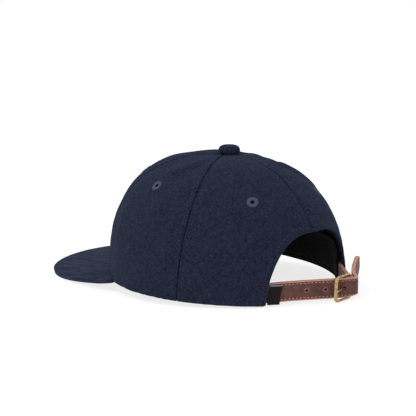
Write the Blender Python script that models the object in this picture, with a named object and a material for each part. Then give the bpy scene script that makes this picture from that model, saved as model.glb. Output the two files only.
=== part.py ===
"""A six-panel cap with a leather strap and buckle at the back, lying as it rests by itself.

Metres, +Z up. The peak points to -Y and the wearer's left side is +X.
Every piece is modelled with the crown's rim on the plane z = 0 and the rim's centre at the origin.
An empty then leans the whole cap onto its peak and its rear, and centres it over the origin.
"""

from math import acos, asin, atan2, cos, hypot, pi, radians, sin, tan

import bmesh
import bpy
from mathutils import Matrix, Vector

# Crown
CROWN_LENGTH = 0.200
CROWN_WIDTH = 0.1764
CROWN_HEIGHT = 0.0983
CROWN_LEAN = 0.0041
FRONT_FULLNESS = 2.76
SIDE_FULLNESS = 2.08
REAR_FULLNESS = 2.53
FULLNESS_BLEND = 1.5
REAR_NARROWING = 0.087
CLOTH = 0.0020
PANEL_SWELL = 0.0010
GAP = 0.0003
PANEL_ROWS = 13

# Seams of the left half: the angle round the rim, and the angle that it leads to at the top, in degrees
SEAMS = {
    "front": {"rim": -90.0, "top": -90.0},
    "fore": {"rim": -37.0, "top": -31.0},
    "aft": {"rim": 18.4, "top": 25.0},
    "back": {"rim": 90.0, "top": 90.0},
}

# The two halves of the rear opening
ARCH_HEIGHT = 0.0500
OPENING = {
    "left": {"half_angle": 31.0, "side": 2.6, "top": 1.7},
    "right": {"half_angle": 33.5, "side": 4.2, "top": 2.0},
}

# Button and eyelets
BUTTON_DIAMETER = 0.0178
BUTTON_HEIGHT = 0.0072
BUTTON_SHIFT = 0.0022
SHANK_DIAMETER = 0.0034
TOP_HOLE_RADIUS = 0.0042
EYELET_DIAMETER = 0.0088
EYELET_HOLE = 0.0025
EYELET_RIM = 0.0006
EYELET_HEIGHT = 0.0010
EYELETS = {
    "front": {"angle": -61.0, "rise": 0.570},
    "side": {"angle": -13.5, "rise": 0.555},
    "back": {"angle": 57.5, "rise": 0.482},
}

# Lining and sweatband
LINING = 0.0010
LINING_FOOT = 0.0200
LINING_INSET = 0.0030
SWEATBAND = 0.0015
SWEATBAND_FOOT = 0.0015
SWEATBAND_HEIGHT = 0.0300
SWEATBAND_INSET = 0.0020
SWEATBAND_BLEND = 14.0
SWEATBAND_MARGIN = 3.0
SWEATBAND_CLEARANCE = 0.0007
STRAP_CLEARANCE = 0.0015

# Peak
PEAK_WIDTH = 0.1740
PEAK_REACH = 0.0772
PEAK_WIDEST = 0.0395
PEAK_FULLNESS = 2.64
PEAK_CORNER_ANGLE = 33.0
PEAK_THICKNESS = 0.0036
PEAK_SLOPE = 0.150
PEAK_TIP_DROP = 0.0093
PEAK_ARCH = 0.0107
PEAK_END = 0.0025

# Long strap, seen from above: it leaves the left corner, folds round the buckle's hinge bar and ends free
STRAP_WIDTH = 0.0146
STRAP_THICKNESS = 0.0026
STRAP_EDGE = 0.0005
STRAP_ROOT_ANGLE = 8.0
STRAP_HEADING = 149.0
STRAP_RUN = 0.0630
STRAP_CORNER_HEIGHT = 0.0088
STRAP_FOLD_HEIGHT = 0.0104
STRAP_BOW = 0.0004
STRAP_FOLD_ANGLE = 92.0
FREE_END = 0.0370
FREE_END_TURN = -23.5
FREE_END_RISE = 14.5
FREE_END_LEAN = 12.0
FREE_END_TAPER = 0.0120
HOLE_DIAMETER = 0.0024
HOLE_PITCH = 0.0142
PLAIN_HOLES = 2

# Short strap, which holds the buckle
SHORT_STRAP_LAYER = 0.0010
SHORT_STRAP_ROOT_ANGLE = 8.0

# Buckle
WIRE = 0.0020
PRONG = 0.0014
BUCKLE_DEPTH = 0.0180
BUCKLE_TURN = 39.0
BUCKLE_CORNER = 0.0040
BUCKLE_HINGE_CORNER = 0.0015
BUCKLE_SLACK = 0.0006
PRONG_OVERHANG = 0.0022
PRONG_LOOP_TURN = 245.0

# Label tab on the long strap
LABEL = 0.0010
LABEL_WIDTH = 0.0092
LABEL_DROP = 0.0010
LABEL_CLEARANCE = 0.0012

HALF_LENGTH = CROWN_LENGTH / 2
HALF_WIDTH = CROWN_WIDTH / 2
NUDGE = 1e-3


def spread(first, last, steps):
    """Evenly spaced values from first to last."""
    return [first + (last - first) * i / steps for i in range(steps + 1)]


def plan(heading, length=1.0):
    """A horizontal vector of a heading in degrees, counter-clockwise from +X."""
    return Vector((cos(radians(heading)), sin(radians(heading)), 0.0)) * length


# Crown surface


def fullness(angle):
    """Exponent of the crown's profile: full in front, rounder at the sides."""
    front = max(-sin(angle), 0.0) ** FULLNESS_BLEND
    rear = max(sin(angle), 0.0) ** FULLNESS_BLEND
    return FRONT_FULLNESS * front + REAR_FULLNESS * rear + SIDE_FULLNESS * (1 - front - rear)


def crown_surface(angle, rise):
    """Outer face of the plain crown, for an angle round the rim and a rise of 0 at the rim to 1 at the top."""
    power = 2 / fullness(angle)
    reach = max(cos(rise * pi / 2), 0.0) ** power
    lift = sin(rise * pi / 2) ** power
    x = HALF_WIDTH * (1 - REAR_NARROWING * sin(angle)) * cos(angle) * reach
    y = HALF_LENGTH * sin(angle) * reach - CROWN_LEAN * lift
    return Vector((x, y, CROWN_HEIGHT * lift))


def crown_normal(angle, rise):
    along = crown_surface(angle + NUDGE, rise) - crown_surface(angle - NUDGE, rise)
    up = crown_surface(angle, min(rise + NUDGE, 1.0)) - crown_surface(angle, max(rise - NUDGE, 0.0))
    return along.cross(up).normalized()


def crown_point(angle, rise, depth):
    """A point that lies depth inside the plain crown's outer face."""
    return crown_surface(angle, rise) - crown_normal(angle, rise) * depth


def rise_at_height(angle, height):
    return asin((height / CROWN_HEIGHT) ** (fullness(angle) / 2)) * 2 / pi


def rise_near_top(angle, radius):
    """The rise at which the crown has closed in to a radius round its top."""
    rim = crown_surface(angle, 0.0)
    return acos((radius / hypot(rim.x, rim.y)) ** (fullness(angle) / 2)) * 2 / pi


def opening_edge(side, share, inset=0.0):
    """Angle and rise of the rear opening's edge, for a share of 0 at its corner to 1 at its top."""
    shape = OPENING[side]
    turn = share * pi / 2
    offset = radians(shape["half_angle"]) * max(cos(turn), 0.0) ** (2 / shape["side"]) + inset / HALF_LENGTH
    height = (ARCH_HEIGHT + inset) * sin(turn) ** (2 / shape["top"])
    angle = pi / 2 - offset if side == "left" else pi / 2 + offset
    return angle, rise_at_height(angle, height)


def opening_angle(side, height):
    """Angle of the opening's edge at a height above the rim."""
    shape = OPENING[side]
    turn = asin((height / ARCH_HEIGHT) ** (shape["top"] / 2))
    offset = radians(shape["half_angle"]) * cos(turn) ** (2 / shape["side"])
    return pi / 2 - offset if side == "left" else pi / 2 + offset


def seam_angle(seam, rise, side):
    """Angle of a seam at a rise. The right half mirrors the left."""
    ends = SEAMS[seam]
    angle = radians(ends["rim"] + (ends["top"] - ends["rim"]) * rise)
    return angle if side == "left" else pi - angle


# Mesh helpers


def material(name, colour, roughness, metallic=0.0):
    made = bpy.data.materials.get(name) or bpy.data.materials.new(name)
    made.use_nodes = True
    shader = made.node_tree.nodes["Principled BSDF"]
    shader.inputs["Base Color"].default_value = (*colour, 1.0)
    shader.inputs["Roughness"].default_value = roughness
    shader.inputs["Metallic"].default_value = metallic
    return made


def finish(name, bm, finish_material, sharp=40.0):
    """Turns a closed bmesh into the named object."""
    bmesh.ops.recalc_face_normals(bm, faces=bm.faces)
    mesh = bpy.data.meshes.new(name)
    bm.to_mesh(mesh)
    bm.free()
    mesh.shade_smooth()
    mesh.set_sharp_from_angle(angle=radians(sharp))
    mesh.materials.append(finish_material)
    made = bpy.data.objects.new(name, mesh)
    bpy.context.scene.collection.objects.link(made)
    return made


def loft(name, loops, finish_material, closed=False, flat_caps=False):
    """A solid through closed loops of equally many points, capped at both ends unless it runs round."""
    bm = bmesh.new()
    rings = [[bm.verts.new(point) for point in loop] for loop in loops]
    count = len(rings[0])
    pairs = list(zip(rings, rings[1:]))
    if closed:
        pairs.append((rings[-1], rings[0]))
    for here, there in pairs:
        for i in range(count):
            j = (i + 1) % count
            bm.faces.new((here[i], here[j], there[j], there[i]))
    if not closed:
        for ring in (rings[0], rings[-1]):
            if flat_caps:
                bm.faces.new(ring)
            else:
                cap(bm, ring)
    return finish(name, bm, finish_material)


def cap(bm, ring):
    """Closes a ring whose second half runs back along its first, with a ladder of faces."""
    last = len(ring) - 1
    for i in range((len(ring) - 1) // 2):
        corners = [ring[i], ring[i + 1], ring[last - i - 1], ring[last - i]]
        if corners[1] is corners[2]:
            corners.pop(2)
        bm.faces.new(corners)


def turned(name, profile, sides, centre, axis, finish_material):
    """A solid turned from a closed profile of radius and height, or an open one that starts and ends on the axis."""
    bm = bmesh.new()
    points = [bm.verts.new((radius, 0.0, height)) for radius, height in profile]
    edges = [bm.edges.new(pair) for pair in zip(points, points[1:])]
    if profile[0][0] > 0:
        edges.append(bm.edges.new((points[-1], points[0])))
    geometry = points + edges
    bmesh.ops.spin(bm, geom=geometry, axis=(0, 0, 1), cent=(0, 0, 0), angle=2 * pi, steps=sides, use_merge=True)
    bmesh.ops.remove_doubles(bm, verts=bm.verts, dist=1e-6)
    turn = Vector((0, 0, 1)).rotation_difference(axis).to_matrix().to_4x4()
    bmesh.ops.transform(bm, matrix=Matrix.Translation(centre) @ turn, verts=bm.verts)
    return finish(name, bm, finish_material)


def wire(name, points, diameter, cyclic, finish_material):
    """A round wire along points."""
    curve = bpy.data.curves.new(name, "CURVE")
    curve.dimensions = "3D"
    curve.bevel_depth = diameter / 2
    curve.bevel_resolution = 2
    curve.use_fill_caps = True
    spline = curve.splines.new("POLY")
    spline.points.add(len(points) - 1)
    for target, point in zip(spline.points, points):
        target.co = (*point, 1.0)
    spline.use_cyclic_u = cyclic
    curve.materials.append(finish_material)
    made = bpy.data.objects.new(name, curve)
    bpy.context.scene.collection.objects.link(made)
    return made


def cut(target, cutter):
    """Cuts a hidden tool out of a piece."""
    cutter.hide_render = True
    cutter.display_type = "WIRE"
    modifier = target.modifiers.new(cutter.name, "BOOLEAN")
    modifier.operation = "DIFFERENCE"
    modifier.solver = "EXACT"
    modifier.object = cutter


def drill(name, start, end, diameter, sides=12):
    """A round cutter from start to end."""
    axis = (end - start).normalized()
    length = (end - start).length
    profile = [(0.0, 0.0), (diameter / 2, 0.0), (diameter / 2, length), (0.0, length)]
    return turned(name, profile, sides, start, axis, material("cutter", (0.5, 0.5, 0.5), 0.5))


# Crown panels and eyelets


class Panel:
    """One sixth of the crown, between two seams, in order of rising angle."""

    def __init__(self, name, side, first, second):
        self.name = name
        self.side = side
        self.seams = (first, second) if side == "left" else (second, first)

    def swell(self, angle, rise):
        """How far the cloth stands out between its seams."""
        low, high = (seam_angle(seam, rise, self.side) for seam in self.seams)
        across = min(max((angle - low) / (high - low), 0.0), 1.0)
        return PANEL_SWELL * sin(pi * across) * sin(pi * rise)

    def point(self, angle, rise, depth):
        return crown_point(angle, rise, depth - self.swell(angle, rise))

    def foot(self):
        """Angle and rise of each column's lower end: along the rim, and then up the opening."""
        low, high = (seam_angle(seam, 0.0, self.side) for seam in self.seams)
        if "back" not in self.seams:
            return [(angle, 0.0) for angle in spread(low, high, 9)]
        arch = [opening_edge(self.side, share) for share in spread(0.0, 1.0, 11)]
        seam = low if self.side == "left" else high
        rim = [(angle, 0.0) for angle in spread(seam, arch[0][0], 5)][:-1]
        return rim + arch if self.side == "left" else (rim + arch)[::-1]

    def columns(self):
        feet = self.foot()
        low, high = (seam_angle(seam, 1.0, self.side) for seam in self.seams)
        heads = spread(low, high, len(feet) - 1)
        columns = []
        for i, ((foot_angle, foot_rise), head_angle) in enumerate(zip(feet, heads)):
            top = rise_near_top(head_angle, TOP_HOLE_RADIUS)
            shift = {0: 1.0, len(feet) - 1: -1.0}.get(i, 0.0) * GAP / 2
            column = []
            for share in spread(0.0, 1.0, PANEL_ROWS):
                angle = foot_angle + (head_angle - foot_angle) * share
                rise = foot_rise + (top - foot_rise) * share
                here = crown_surface(angle, rise)
                lift = here.z / CROWN_HEIGHT
                column.append((angle + shift / hypot(here.x, here.y + CROWN_LEAN * lift), rise))
            columns.append(column)
        return columns

    def build(self, wool):
        loops = []
        for column in self.columns():
            outer = [self.point(angle, rise, 0.0) for angle, rise in column]
            inner = [self.point(angle, rise, CLOTH) for angle, rise in column]
            loops.append(outer + inner[::-1])
        return loft(self.name, loops, wool)

    def eyelet_place(self):
        """Centre on the panel's outer face, and the direction that it faces."""
        place = EYELETS[self.name.split("_")[1]]
        rise = place["rise"]
        angle = radians(place["angle"] if self.side == "left" else 180 - place["angle"])
        return self.point(angle, rise, 0.0), crown_normal(angle, rise)


def eyelet(panel, target, thread):
    """A stitched ring that stands on the panel and lines the hole through it."""
    centre, outward = panel.eyelet_place()
    barrel = EYELET_HOLE / 2 + EYELET_RIM
    flange = EYELET_DIAMETER / 2
    profile = [
        (EYELET_HOLE / 2, -CLOTH),
        (barrel, -CLOTH),
        (barrel, GAP),
        (flange * 0.95, GAP),
        (flange, GAP + EYELET_HEIGHT * 0.35),
        (flange * 0.80, GAP + EYELET_HEIGHT * 0.90),
        (flange * 0.52, GAP + EYELET_HEIGHT),
        (EYELET_HOLE / 2, GAP + EYELET_HEIGHT * 0.50),
    ]
    name = panel.name.replace("panel", "eyelet")
    ring = turned(name, profile, 12, centre, outward, thread)
    reach = outward * (CLOTH + EYELET_HEIGHT)
    hole = drill(f"{name}_hole", centre - reach * 1.5, centre + reach, 2 * (barrel + GAP))
    cut(target, hole)
    return ring


def top_button(wool):
    top = crown_surface(0.0, 1.0) + Vector((0.0, BUTTON_SHIFT, 0.0))
    radius = BUTTON_DIAMETER / 2
    shank = SHANK_DIAMETER / 2
    profile = [
        (0.0, -CLOTH),
        (shank, -CLOTH),
        (shank, GAP),
        (radius * 0.94, GAP),
        (radius, BUTTON_HEIGHT * 0.26),
        (radius * 0.97, BUTTON_HEIGHT * 0.52),
        (radius * 0.84, BUTTON_HEIGHT * 0.78),
        (radius * 0.52, BUTTON_HEIGHT * 0.96),
        (0.0, BUTTON_HEIGHT),
    ]
    return turned("top_button", profile, 20, top, Vector((0, 0, 1)), wool)


# Inside of the crown


def lining(cloth):
    """A bowl of thin cloth inside the panels, open at the rear."""
    depth = CLOTH + GAP
    feet = []
    for side in ("left", "right"):
        edge = [opening_edge(side, share, LINING_INSET) for share in spread(0.0, 1.0, 11)]
        foot_angle = opening_angle(side, LINING_FOOT) - (1 if side == "left" else -1) * LINING_INSET / HALF_LENGTH
        above = [(angle, rise) for angle, rise in edge if rise > rise_at_height(angle, LINING_FOOT * 1.1)]
        half = [(foot_angle, rise_at_height(foot_angle, LINING_FOOT))] + above
        feet.append(half)
    left, right = feet
    feet = left + right[-2::-1]
    around = spread(right[0][0], left[0][0] + 2 * pi, 40)[1:-1]
    feet += [(angle, rise_at_height(angle, LINING_FOOT)) for angle in around]
    loops = []
    for foot_angle, foot_rise in feet:
        top = rise_near_top(foot_angle, TOP_HOLE_RADIUS)
        rises = spread(foot_rise, top, 9)
        outer = [crown_point(foot_angle, rise, depth) for rise in rises]
        inner = [crown_point(foot_angle, rise, depth + LINING) for rise in rises]
        loops.append(outer + inner[::-1])
    return loft("lining", loops, cloth, closed=True)


def sweatband_depth(angle):
    """The band stands further in where it covers the straps' sewn ends."""
    plain = CLOTH + GAP + LINING + SWEATBAND_CLEARANCE
    over_strap = CLOTH + GAP + STRAP_THICKNESS + STRAP_CLEARANCE
    near = 0.0
    for side, root in (("left", STRAP_ROOT_ANGLE), ("right", SHORT_STRAP_ROOT_ANGLE)):
        away = abs(angle - opening_angle(side, 0.0)) - radians(root + SWEATBAND_MARGIN)
        share = 1 - min(max(away / radians(SWEATBAND_BLEND), 0.0), 1.0)
        near = max(near, share * share * (3 - 2 * share))
    return plain + (over_strap - plain) * near


def sweatband(cloth):
    """A band round the rim's inside, whose ends follow the opening's edges."""
    inset = SWEATBAND_INSET / HALF_LENGTH
    levels = spread(SWEATBAND_FOOT, SWEATBAND_FOOT + SWEATBAND_HEIGHT, 3)
    loops = []
    for share in spread(0.0, 1.0, 42):
        outer = []
        inner = []
        for level in levels:
            start = opening_angle("right", level) + inset
            end = opening_angle("left", level) - inset + 2 * pi
            angle = start + (end - start) * share
            depth = sweatband_depth(angle if angle < 1.5 * pi else angle - 2 * pi)
            rise = rise_at_height(angle, level)
            outer.append(crown_point(angle, rise, depth))
            inner.append(crown_point(angle, rise, depth + SWEATBAND))
        loops.append(outer + inner[::-1])
    return loft("sweatband", loops, cloth)


# Peak


def peak_outline(share):
    """Plan point of the peak's edge, for a share of -1 at the right corner to 1 at the left corner."""
    tip_y = -HALF_LENGTH - PEAK_REACH
    widest_y = -HALF_LENGTH + PEAK_WIDEST
    half = PEAK_WIDTH / 2
    side = -1 if share < 0 else 1
    shoulder = 0.82
    away = abs(share)
    if away <= shoulder:
        turn = away / shoulder * pi / 2
        x = half * sin(turn) ** (2 / PEAK_FULLNESS)
        y = widest_y - (widest_y - tip_y) * max(cos(turn), 0.0) ** (2 / PEAK_FULLNESS)
        return Vector((side * x, y, 0.0))
    corner = crown_surface(radians(-PEAK_CORNER_ANGLE), 0.0)
    corner += crown_normal(radians(-PEAK_CORNER_ANGLE), 0.0) * (GAP + PEAK_END)
    back = (away - shoulder) / (1 - shoulder)
    x = half - (half - corner.x) * back**1.7
    y = widest_y + (corner.y - widest_y) * back
    return Vector((side * x, y, 0.0))


def peak_height(point):
    """Height of the peak's middle layer over a plan point: it slopes down to the tip and arches across."""
    tip_y = -HALF_LENGTH - PEAK_REACH
    across = 2 * point.x / PEAK_WIDTH
    return -PEAK_TIP_DROP + PEAK_SLOPE * (point.y - tip_y) - PEAK_ARCH * across * across


def peak(wool):
    shares = [0.0, 0.2, 0.4, 0.6, 0.8, 0.93, 0.985]
    half = PEAK_THICKNESS / 2
    span = radians(90.0 - PEAK_CORNER_ANGLE)
    loops = []
    for share in spread(-1.0, 1.0, 30):
        angle = -pi / 2 + span * share
        inner = crown_surface(angle, 0.0) + crown_normal(angle, 0.0) * GAP
        outer = peak_outline(share)
        top = []
        under = []
        for across in shares:
            point = inner.lerp(outer, across)
            middle = peak_height(point)
            thickness = half * (0.8 if across == shares[-1] else 1.0)
            top.append(Vector((point.x, point.y, middle + thickness)))
            under.append(Vector((point.x, point.y, middle - thickness)))
        edge = Vector((outer.x, outer.y, peak_height(outer)))
        loops.append(top + [edge] + under[::-1])
    return loft("peak", loops, wool)


# Straps, in plan


def strap_depth(thickness):
    """How deep the middle of a strap's sewn end lies inside the crown's outer face."""
    return CLOTH + GAP + thickness / 2


def strap_root(side, root_angle, thickness):
    """Plan points of a strap's sewn end, from inside the crown to the opening's edge."""
    level = STRAP_CORNER_HEIGHT + STRAP_WIDTH / 2
    edge = opening_angle(side, level)
    inside = edge - radians(root_angle) if side == "left" else edge + radians(root_angle)
    points = []
    for angle in spread(inside, edge, 3):
        point = crown_point(angle, rise_at_height(angle, level), strap_depth(thickness))
        points.append(Vector((point.x, point.y, 0.0)))
    return points


class StrapLayout:
    """Where the strap's run, its fold and the buckle lie, worked out from the opening's left corner."""

    def __init__(self):
        self.root = strap_root("left", STRAP_ROOT_ANGLE, STRAP_THICKNESS)
        self.start = self.root[-1]
        self.along = plan(STRAP_HEADING)
        self.outward = plan(STRAP_HEADING - 90)
        self.fold_start = self.start + self.along * STRAP_RUN
        prong_loop = WIRE / 2 + GAP + PRONG
        self.fold_radius = prong_loop + GAP + STRAP_THICKNESS / 2
        self.hinge = self.fold_start - self.outward * self.fold_radius
        self.frame_heading = STRAP_HEADING + 180 + BUCKLE_TURN
        self.to_bar = plan(self.frame_heading)
        self.bar = self.hinge + self.to_bar * BUCKLE_DEPTH

    def run_height(self, share):
        """Height of the strap's middle line along its run."""
        level = STRAP_CORNER_HEIGHT + (STRAP_FOLD_HEIGHT - STRAP_CORNER_HEIGHT) * share
        return level + STRAP_BOW * 6.75 * share * (1 - share) ** 2

    def prong_line(self):
        """Start and end of the prong's straight part, from its loop to past the front bar."""
        height = Vector((0, 0, STRAP_FOLD_HEIGHT))
        side = plan(self.frame_heading + 90)
        loop = WIRE / 2 + GAP + PRONG / 2
        start = self.hinge - side * loop + height
        end = self.bar + side * loop + height
        reach = (end - start).normalized()
        return start, end + reach * PRONG_OVERHANG


def strap_section(centre, across, up, half_width):
    """Eight-sided section of a strap: across is its thickness direction, up its width direction."""
    half = STRAP_THICKNESS / 2
    edge = min(STRAP_EDGE, half_width / 2)
    corners = [
        (-half, edge - half_width),
        (-half, half_width - edge),
        (edge - half, half_width),
        (half - edge, half_width),
        (half, half_width - edge),
        (half, edge - half_width),
        (half - edge, -half_width),
        (edge - half, -half_width),
    ]
    return [centre + across * a + up * b for a, b in corners]


def long_strap(layout, leather):
    half = STRAP_WIDTH / 2
    upright = Vector((0, 0, 1))
    loops = []
    root = layout.root
    for i, point in enumerate(root[:-1]):
        way = (root[i + 1] - point).normalized()
        centre = point + upright * layout.run_height(0.0)
        loops.append(strap_section(centre, way.cross(upright), upright, half))
    for share in spread(0.0, 1.0, 12):
        centre = layout.start + layout.along * STRAP_RUN * share + upright * layout.run_height(share)
        loops.append(strap_section(centre, layout.outward, upright, half))
    base = upright * STRAP_FOLD_HEIGHT
    for turn in spread(0.0, STRAP_FOLD_ANGLE, 7)[1:]:
        across = plan(STRAP_HEADING - 90 + turn)
        loops.append(strap_section(layout.hinge + across * layout.fold_radius + base, across, upright, half))
    heading = STRAP_HEADING + STRAP_FOLD_ANGLE
    point = layout.hinge + plan(heading - 90) * layout.fold_radius + base
    steps = 12
    for share in spread(0.0, 1.0, steps)[1:]:
        ease = min(share * 2, 1.0)
        ease = ease * ease * (3 - 2 * ease)
        away = plan(heading + FREE_END_TURN * ease)
        across = plan(heading + FREE_END_TURN * ease - 90)
        lean = radians(FREE_END_LEAN) * ease
        point = point + away * (FREE_END / steps)
        rise = tan(radians(FREE_END_RISE)) * FREE_END * share * min(share * 3, 1.0)
        narrow = min((1 - share) * FREE_END / FREE_END_TAPER, 1.0)
        width = half * (0.30 + 0.70 * (1 - (1 - narrow) ** 2) ** 0.5)
        up = upright * cos(lean) - across * sin(lean)
        out = across * cos(lean) + upright * sin(lean)
        loops.append(strap_section(point + upright * rise, out, up, width))
    strap = loft("long_strap", loops, leather, flat_caps=True)
    start, end = layout.prong_line()
    cut(strap, drill("prong_slot", start, end, PRONG + 2 * GAP))
    crossing = STRAP_RUN - layout.fold_radius / tan(radians(BUCKLE_TURN))
    for i in range(1, PLAIN_HOLES + 1):
        share = (crossing - i * HOLE_PITCH) / STRAP_RUN
        centre = layout.start + layout.along * STRAP_RUN * share + upright * layout.run_height(share)
        reach = layout.outward * STRAP_THICKNESS
        cut(strap, drill(f"strap_hole_{i}", centre - reach, centre + reach, HOLE_DIAMETER))
    return strap


def short_strap(layout, leather):
    """Two layers of leather that loop round the hinge bar and run into the opening's right corner."""
    half = SHORT_STRAP_LAYER + GAP / 2
    loop_radius = WIRE / 2 + GAP + SHORT_STRAP_LAYER
    root = strap_root("right", SHORT_STRAP_ROOT_ANGLE, 2 * half)[::-1]
    toward = (root[0] - layout.hinge).normalized()
    route = [layout.hinge] + root
    left_edge = []
    right_edge = []
    for i in range(1, len(route)):
        before = (route[i] - route[i - 1]).normalized()
        after = (route[min(i + 1, len(route) - 1)] - route[i]).normalized() if i + 1 < len(route) else before
        way = (before + after).normalized()
        side = Vector((-way.y, way.x, 0.0)) * half
        left_edge.append(route[i] + side)
        right_edge.append(route[i] - side)
    opening = asin(half / loop_radius)
    heading = atan2(toward.y, toward.x)
    arc = []
    for turn in spread(heading + opening, heading + 2 * pi - opening, 16):
        arc.append(layout.hinge + Vector((cos(turn), sin(turn), 0.0)) * loop_radius)
    outline = arc + right_edge + left_edge[::-1]
    foot = Vector((0, 0, STRAP_FOLD_HEIGHT - STRAP_WIDTH / 2))
    head = foot + Vector((0, 0, STRAP_WIDTH))
    loops = [[point + foot for point in outline], [point + head for point in outline]]
    strap = loft("short_strap", loops, leather, flat_caps=True)
    beyond = Vector((0, 0, GAP + WIRE))
    cut(strap, drill("hinge_hole", layout.hinge + foot - beyond, layout.hinge + head + beyond, WIRE + 2 * GAP))
    slot_half = PRONG / 2 + GAP
    side = Vector((-toward.y, toward.x, 0.0)) * loop_radius * 1.5
    ring = WIRE / 2 + 2 * GAP + PRONG
    near = layout.hinge + toward * ring
    far = layout.hinge - toward * (ring + GAP)
    slot = []
    for level in (STRAP_FOLD_HEIGHT - slot_half, STRAP_FOLD_HEIGHT + slot_half):
        lift = Vector((0, 0, level))
        slot.append([near + side + lift, far + side + lift, far - side + lift, near - side + lift])
    cut(strap, loft("prong_gap", slot, material("cutter", (0.5, 0.5, 0.5), 0.5), flat_caps=True))
    return strap


# Buckle


def buckle_frame(layout, brass):
    """A wire rectangle with round corners, upright, between the hinge bar and the front bar."""
    half_height = STRAP_WIDTH / 2 + BUCKLE_SLACK + WIRE / 2
    half_depth = BUCKLE_DEPTH / 2
    centre = layout.hinge.lerp(layout.bar, 0.5) + Vector((0, 0, STRAP_FOLD_HEIGHT))
    points = []
    for along, up, start in ((1, 1, 0), (-1, 1, 90), (-1, -1, 180), (1, -1, 270)):
        corner = BUCKLE_CORNER if along > 0 else BUCKLE_HINGE_CORNER
        for turn in spread(start, start + 90, 5):
            out = along * (half_depth - corner) + corner * cos(radians(turn))
            lift = up * (half_height - corner) + corner * sin(radians(turn))
            points.append(centre + layout.to_bar * out + Vector((0, 0, lift)))
    return wire("buckle_frame", points, WIRE, True, brass)


def buckle_prong(layout, brass):
    """A loop round the hinge bar that runs on as a straight tongue over the front bar."""
    start, end = layout.prong_line()
    centre = layout.hinge + Vector((0, 0, STRAP_FOLD_HEIGHT))
    loop = (start - centre).length
    first = layout.frame_heading - 90
    points = []
    for turn in spread(first - PRONG_LOOP_TURN, first, 13)[:-1]:
        points.append(centre + plan(turn, loop))
    points += [start.lerp(end, share) for share in spread(0.0, 1.0, 4)]
    return wire("buckle_prong", points, PRONG, False, brass)


def label_tab(layout, cloth):
    """A folded strip of woven cloth on the strap's face, where the strap leaves the crown."""
    near = STRAP_THICKNESS / 2 + GAP
    far = near + LABEL
    foot = layout.run_height(0.0) - STRAP_WIDTH / 2 - LABEL_DROP
    head = foot + STRAP_WIDTH
    fold = LABEL / 2
    section = [(near, foot), (far, foot), (far, head - fold), (near + fold * 1.4, head), (near, head - fold / 2)]
    top_edge = crown_surface(opening_angle("left", head), 0.0)
    loops = []
    for offset in (LABEL_CLEARANCE, LABEL_CLEARANCE + LABEL_WIDTH):
        loop = []
        for across, level in section:
            edge = crown_surface(opening_angle("left", max(level, 0.0)), 0.0)
            slant = (edge - top_edge).dot(layout.along)
            where = layout.start + layout.along * (offset + slant) + layout.outward * across
            loop.append(where + Vector((0, 0, level)))
        loops.append(loop)
    return loft("label_tab", loops, cloth, flat_caps=True)


# Resting place


def lowest(points, lean):
    """Height of the lowest point once the cap leans back by an angle about the X axis."""
    return min(point.y * sin(lean) + point.z * cos(lean) for point in points)


def rest(pieces):
    """Leans the cap until its peak and its rear stand on one level, and centres it over the origin."""
    depsgraph = bpy.context.evaluated_depsgraph_get()
    points = []
    for piece in pieces:
        mesh = piece.evaluated_get(depsgraph).to_mesh()
        points += [vertex.co.copy() for vertex in mesh.vertices]
    front = [point for point in points if point.y < 0]
    rear = [point for point in points if point.y >= 0]
    low, high = radians(-15.0), radians(15.0)
    for _ in range(50):
        lean = (low + high) / 2
        if lowest(front, lean) > lowest(rear, lean):
            low = lean
        else:
            high = lean
    turn = Matrix.Rotation(lean, 4, "X")
    turned_points = [turn @ point for point in points]
    corners = [(min(p[i] for p in turned_points), max(p[i] for p in turned_points)) for i in range(3)]
    shift = Vector((-sum(corners[0]) / 2, -sum(corners[1]) / 2, -corners[2][0]))
    holder = bpy.data.objects.new("resting_cap", None)
    bpy.context.scene.collection.objects.link(holder)
    holder.rotation_euler = (lean, 0.0, 0.0)
    holder.location = shift
    for made in bpy.context.scene.objects:
        if made is not holder:
            made.parent = holder


def main():
    for old in list(bpy.data.objects):
        bpy.data.objects.remove(old)
    wool = material("navy_wool", (0.017, 0.021, 0.036), 0.9)
    thread = material("eyelet_thread", (0.055, 0.068, 0.110), 0.7)
    black = material("black_lining", (0.004, 0.004, 0.004), 0.9)
    band = material("black_sweatband", (0.006, 0.006, 0.006), 0.85)
    leather = material("brown_leather", (0.125, 0.062, 0.052), 0.5)
    brass = material("antique_brass", (0.42, 0.30, 0.13), 0.3, 1.0)
    woven = material("black_woven_tab", (0.008, 0.008, 0.009), 0.8)
    pieces = []
    for side in ("left", "right"):
        for place, first, second in (("front", "front", "fore"), ("side", "fore", "aft"), ("back", "aft", "back")):
            panel = Panel(f"panel_{place}_{side}", side, first, second)
            built = panel.build(wool)
            pieces += [built, eyelet(panel, built, thread)]
    layout = StrapLayout()
    pieces += [top_button(wool), lining(black), sweatband(band), peak(wool)]
    pieces += [long_strap(layout, leather), short_strap(layout, leather)]
    pieces += [buckle_frame(layout, brass), buckle_prong(layout, brass), label_tab(layout, woven)]
    rest(pieces)


main()
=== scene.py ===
from bisect import bisect_right
from math import acos, asin, atan2, cos, exp, hypot, pi, radians, sin, sqrt, tan

import bmesh
import bpy
from bpy.props import FloatProperty, FloatVectorProperty, PointerProperty
from mathutils import Matrix, Vector, noise
from mathutils.kdtree import KDTree


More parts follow.
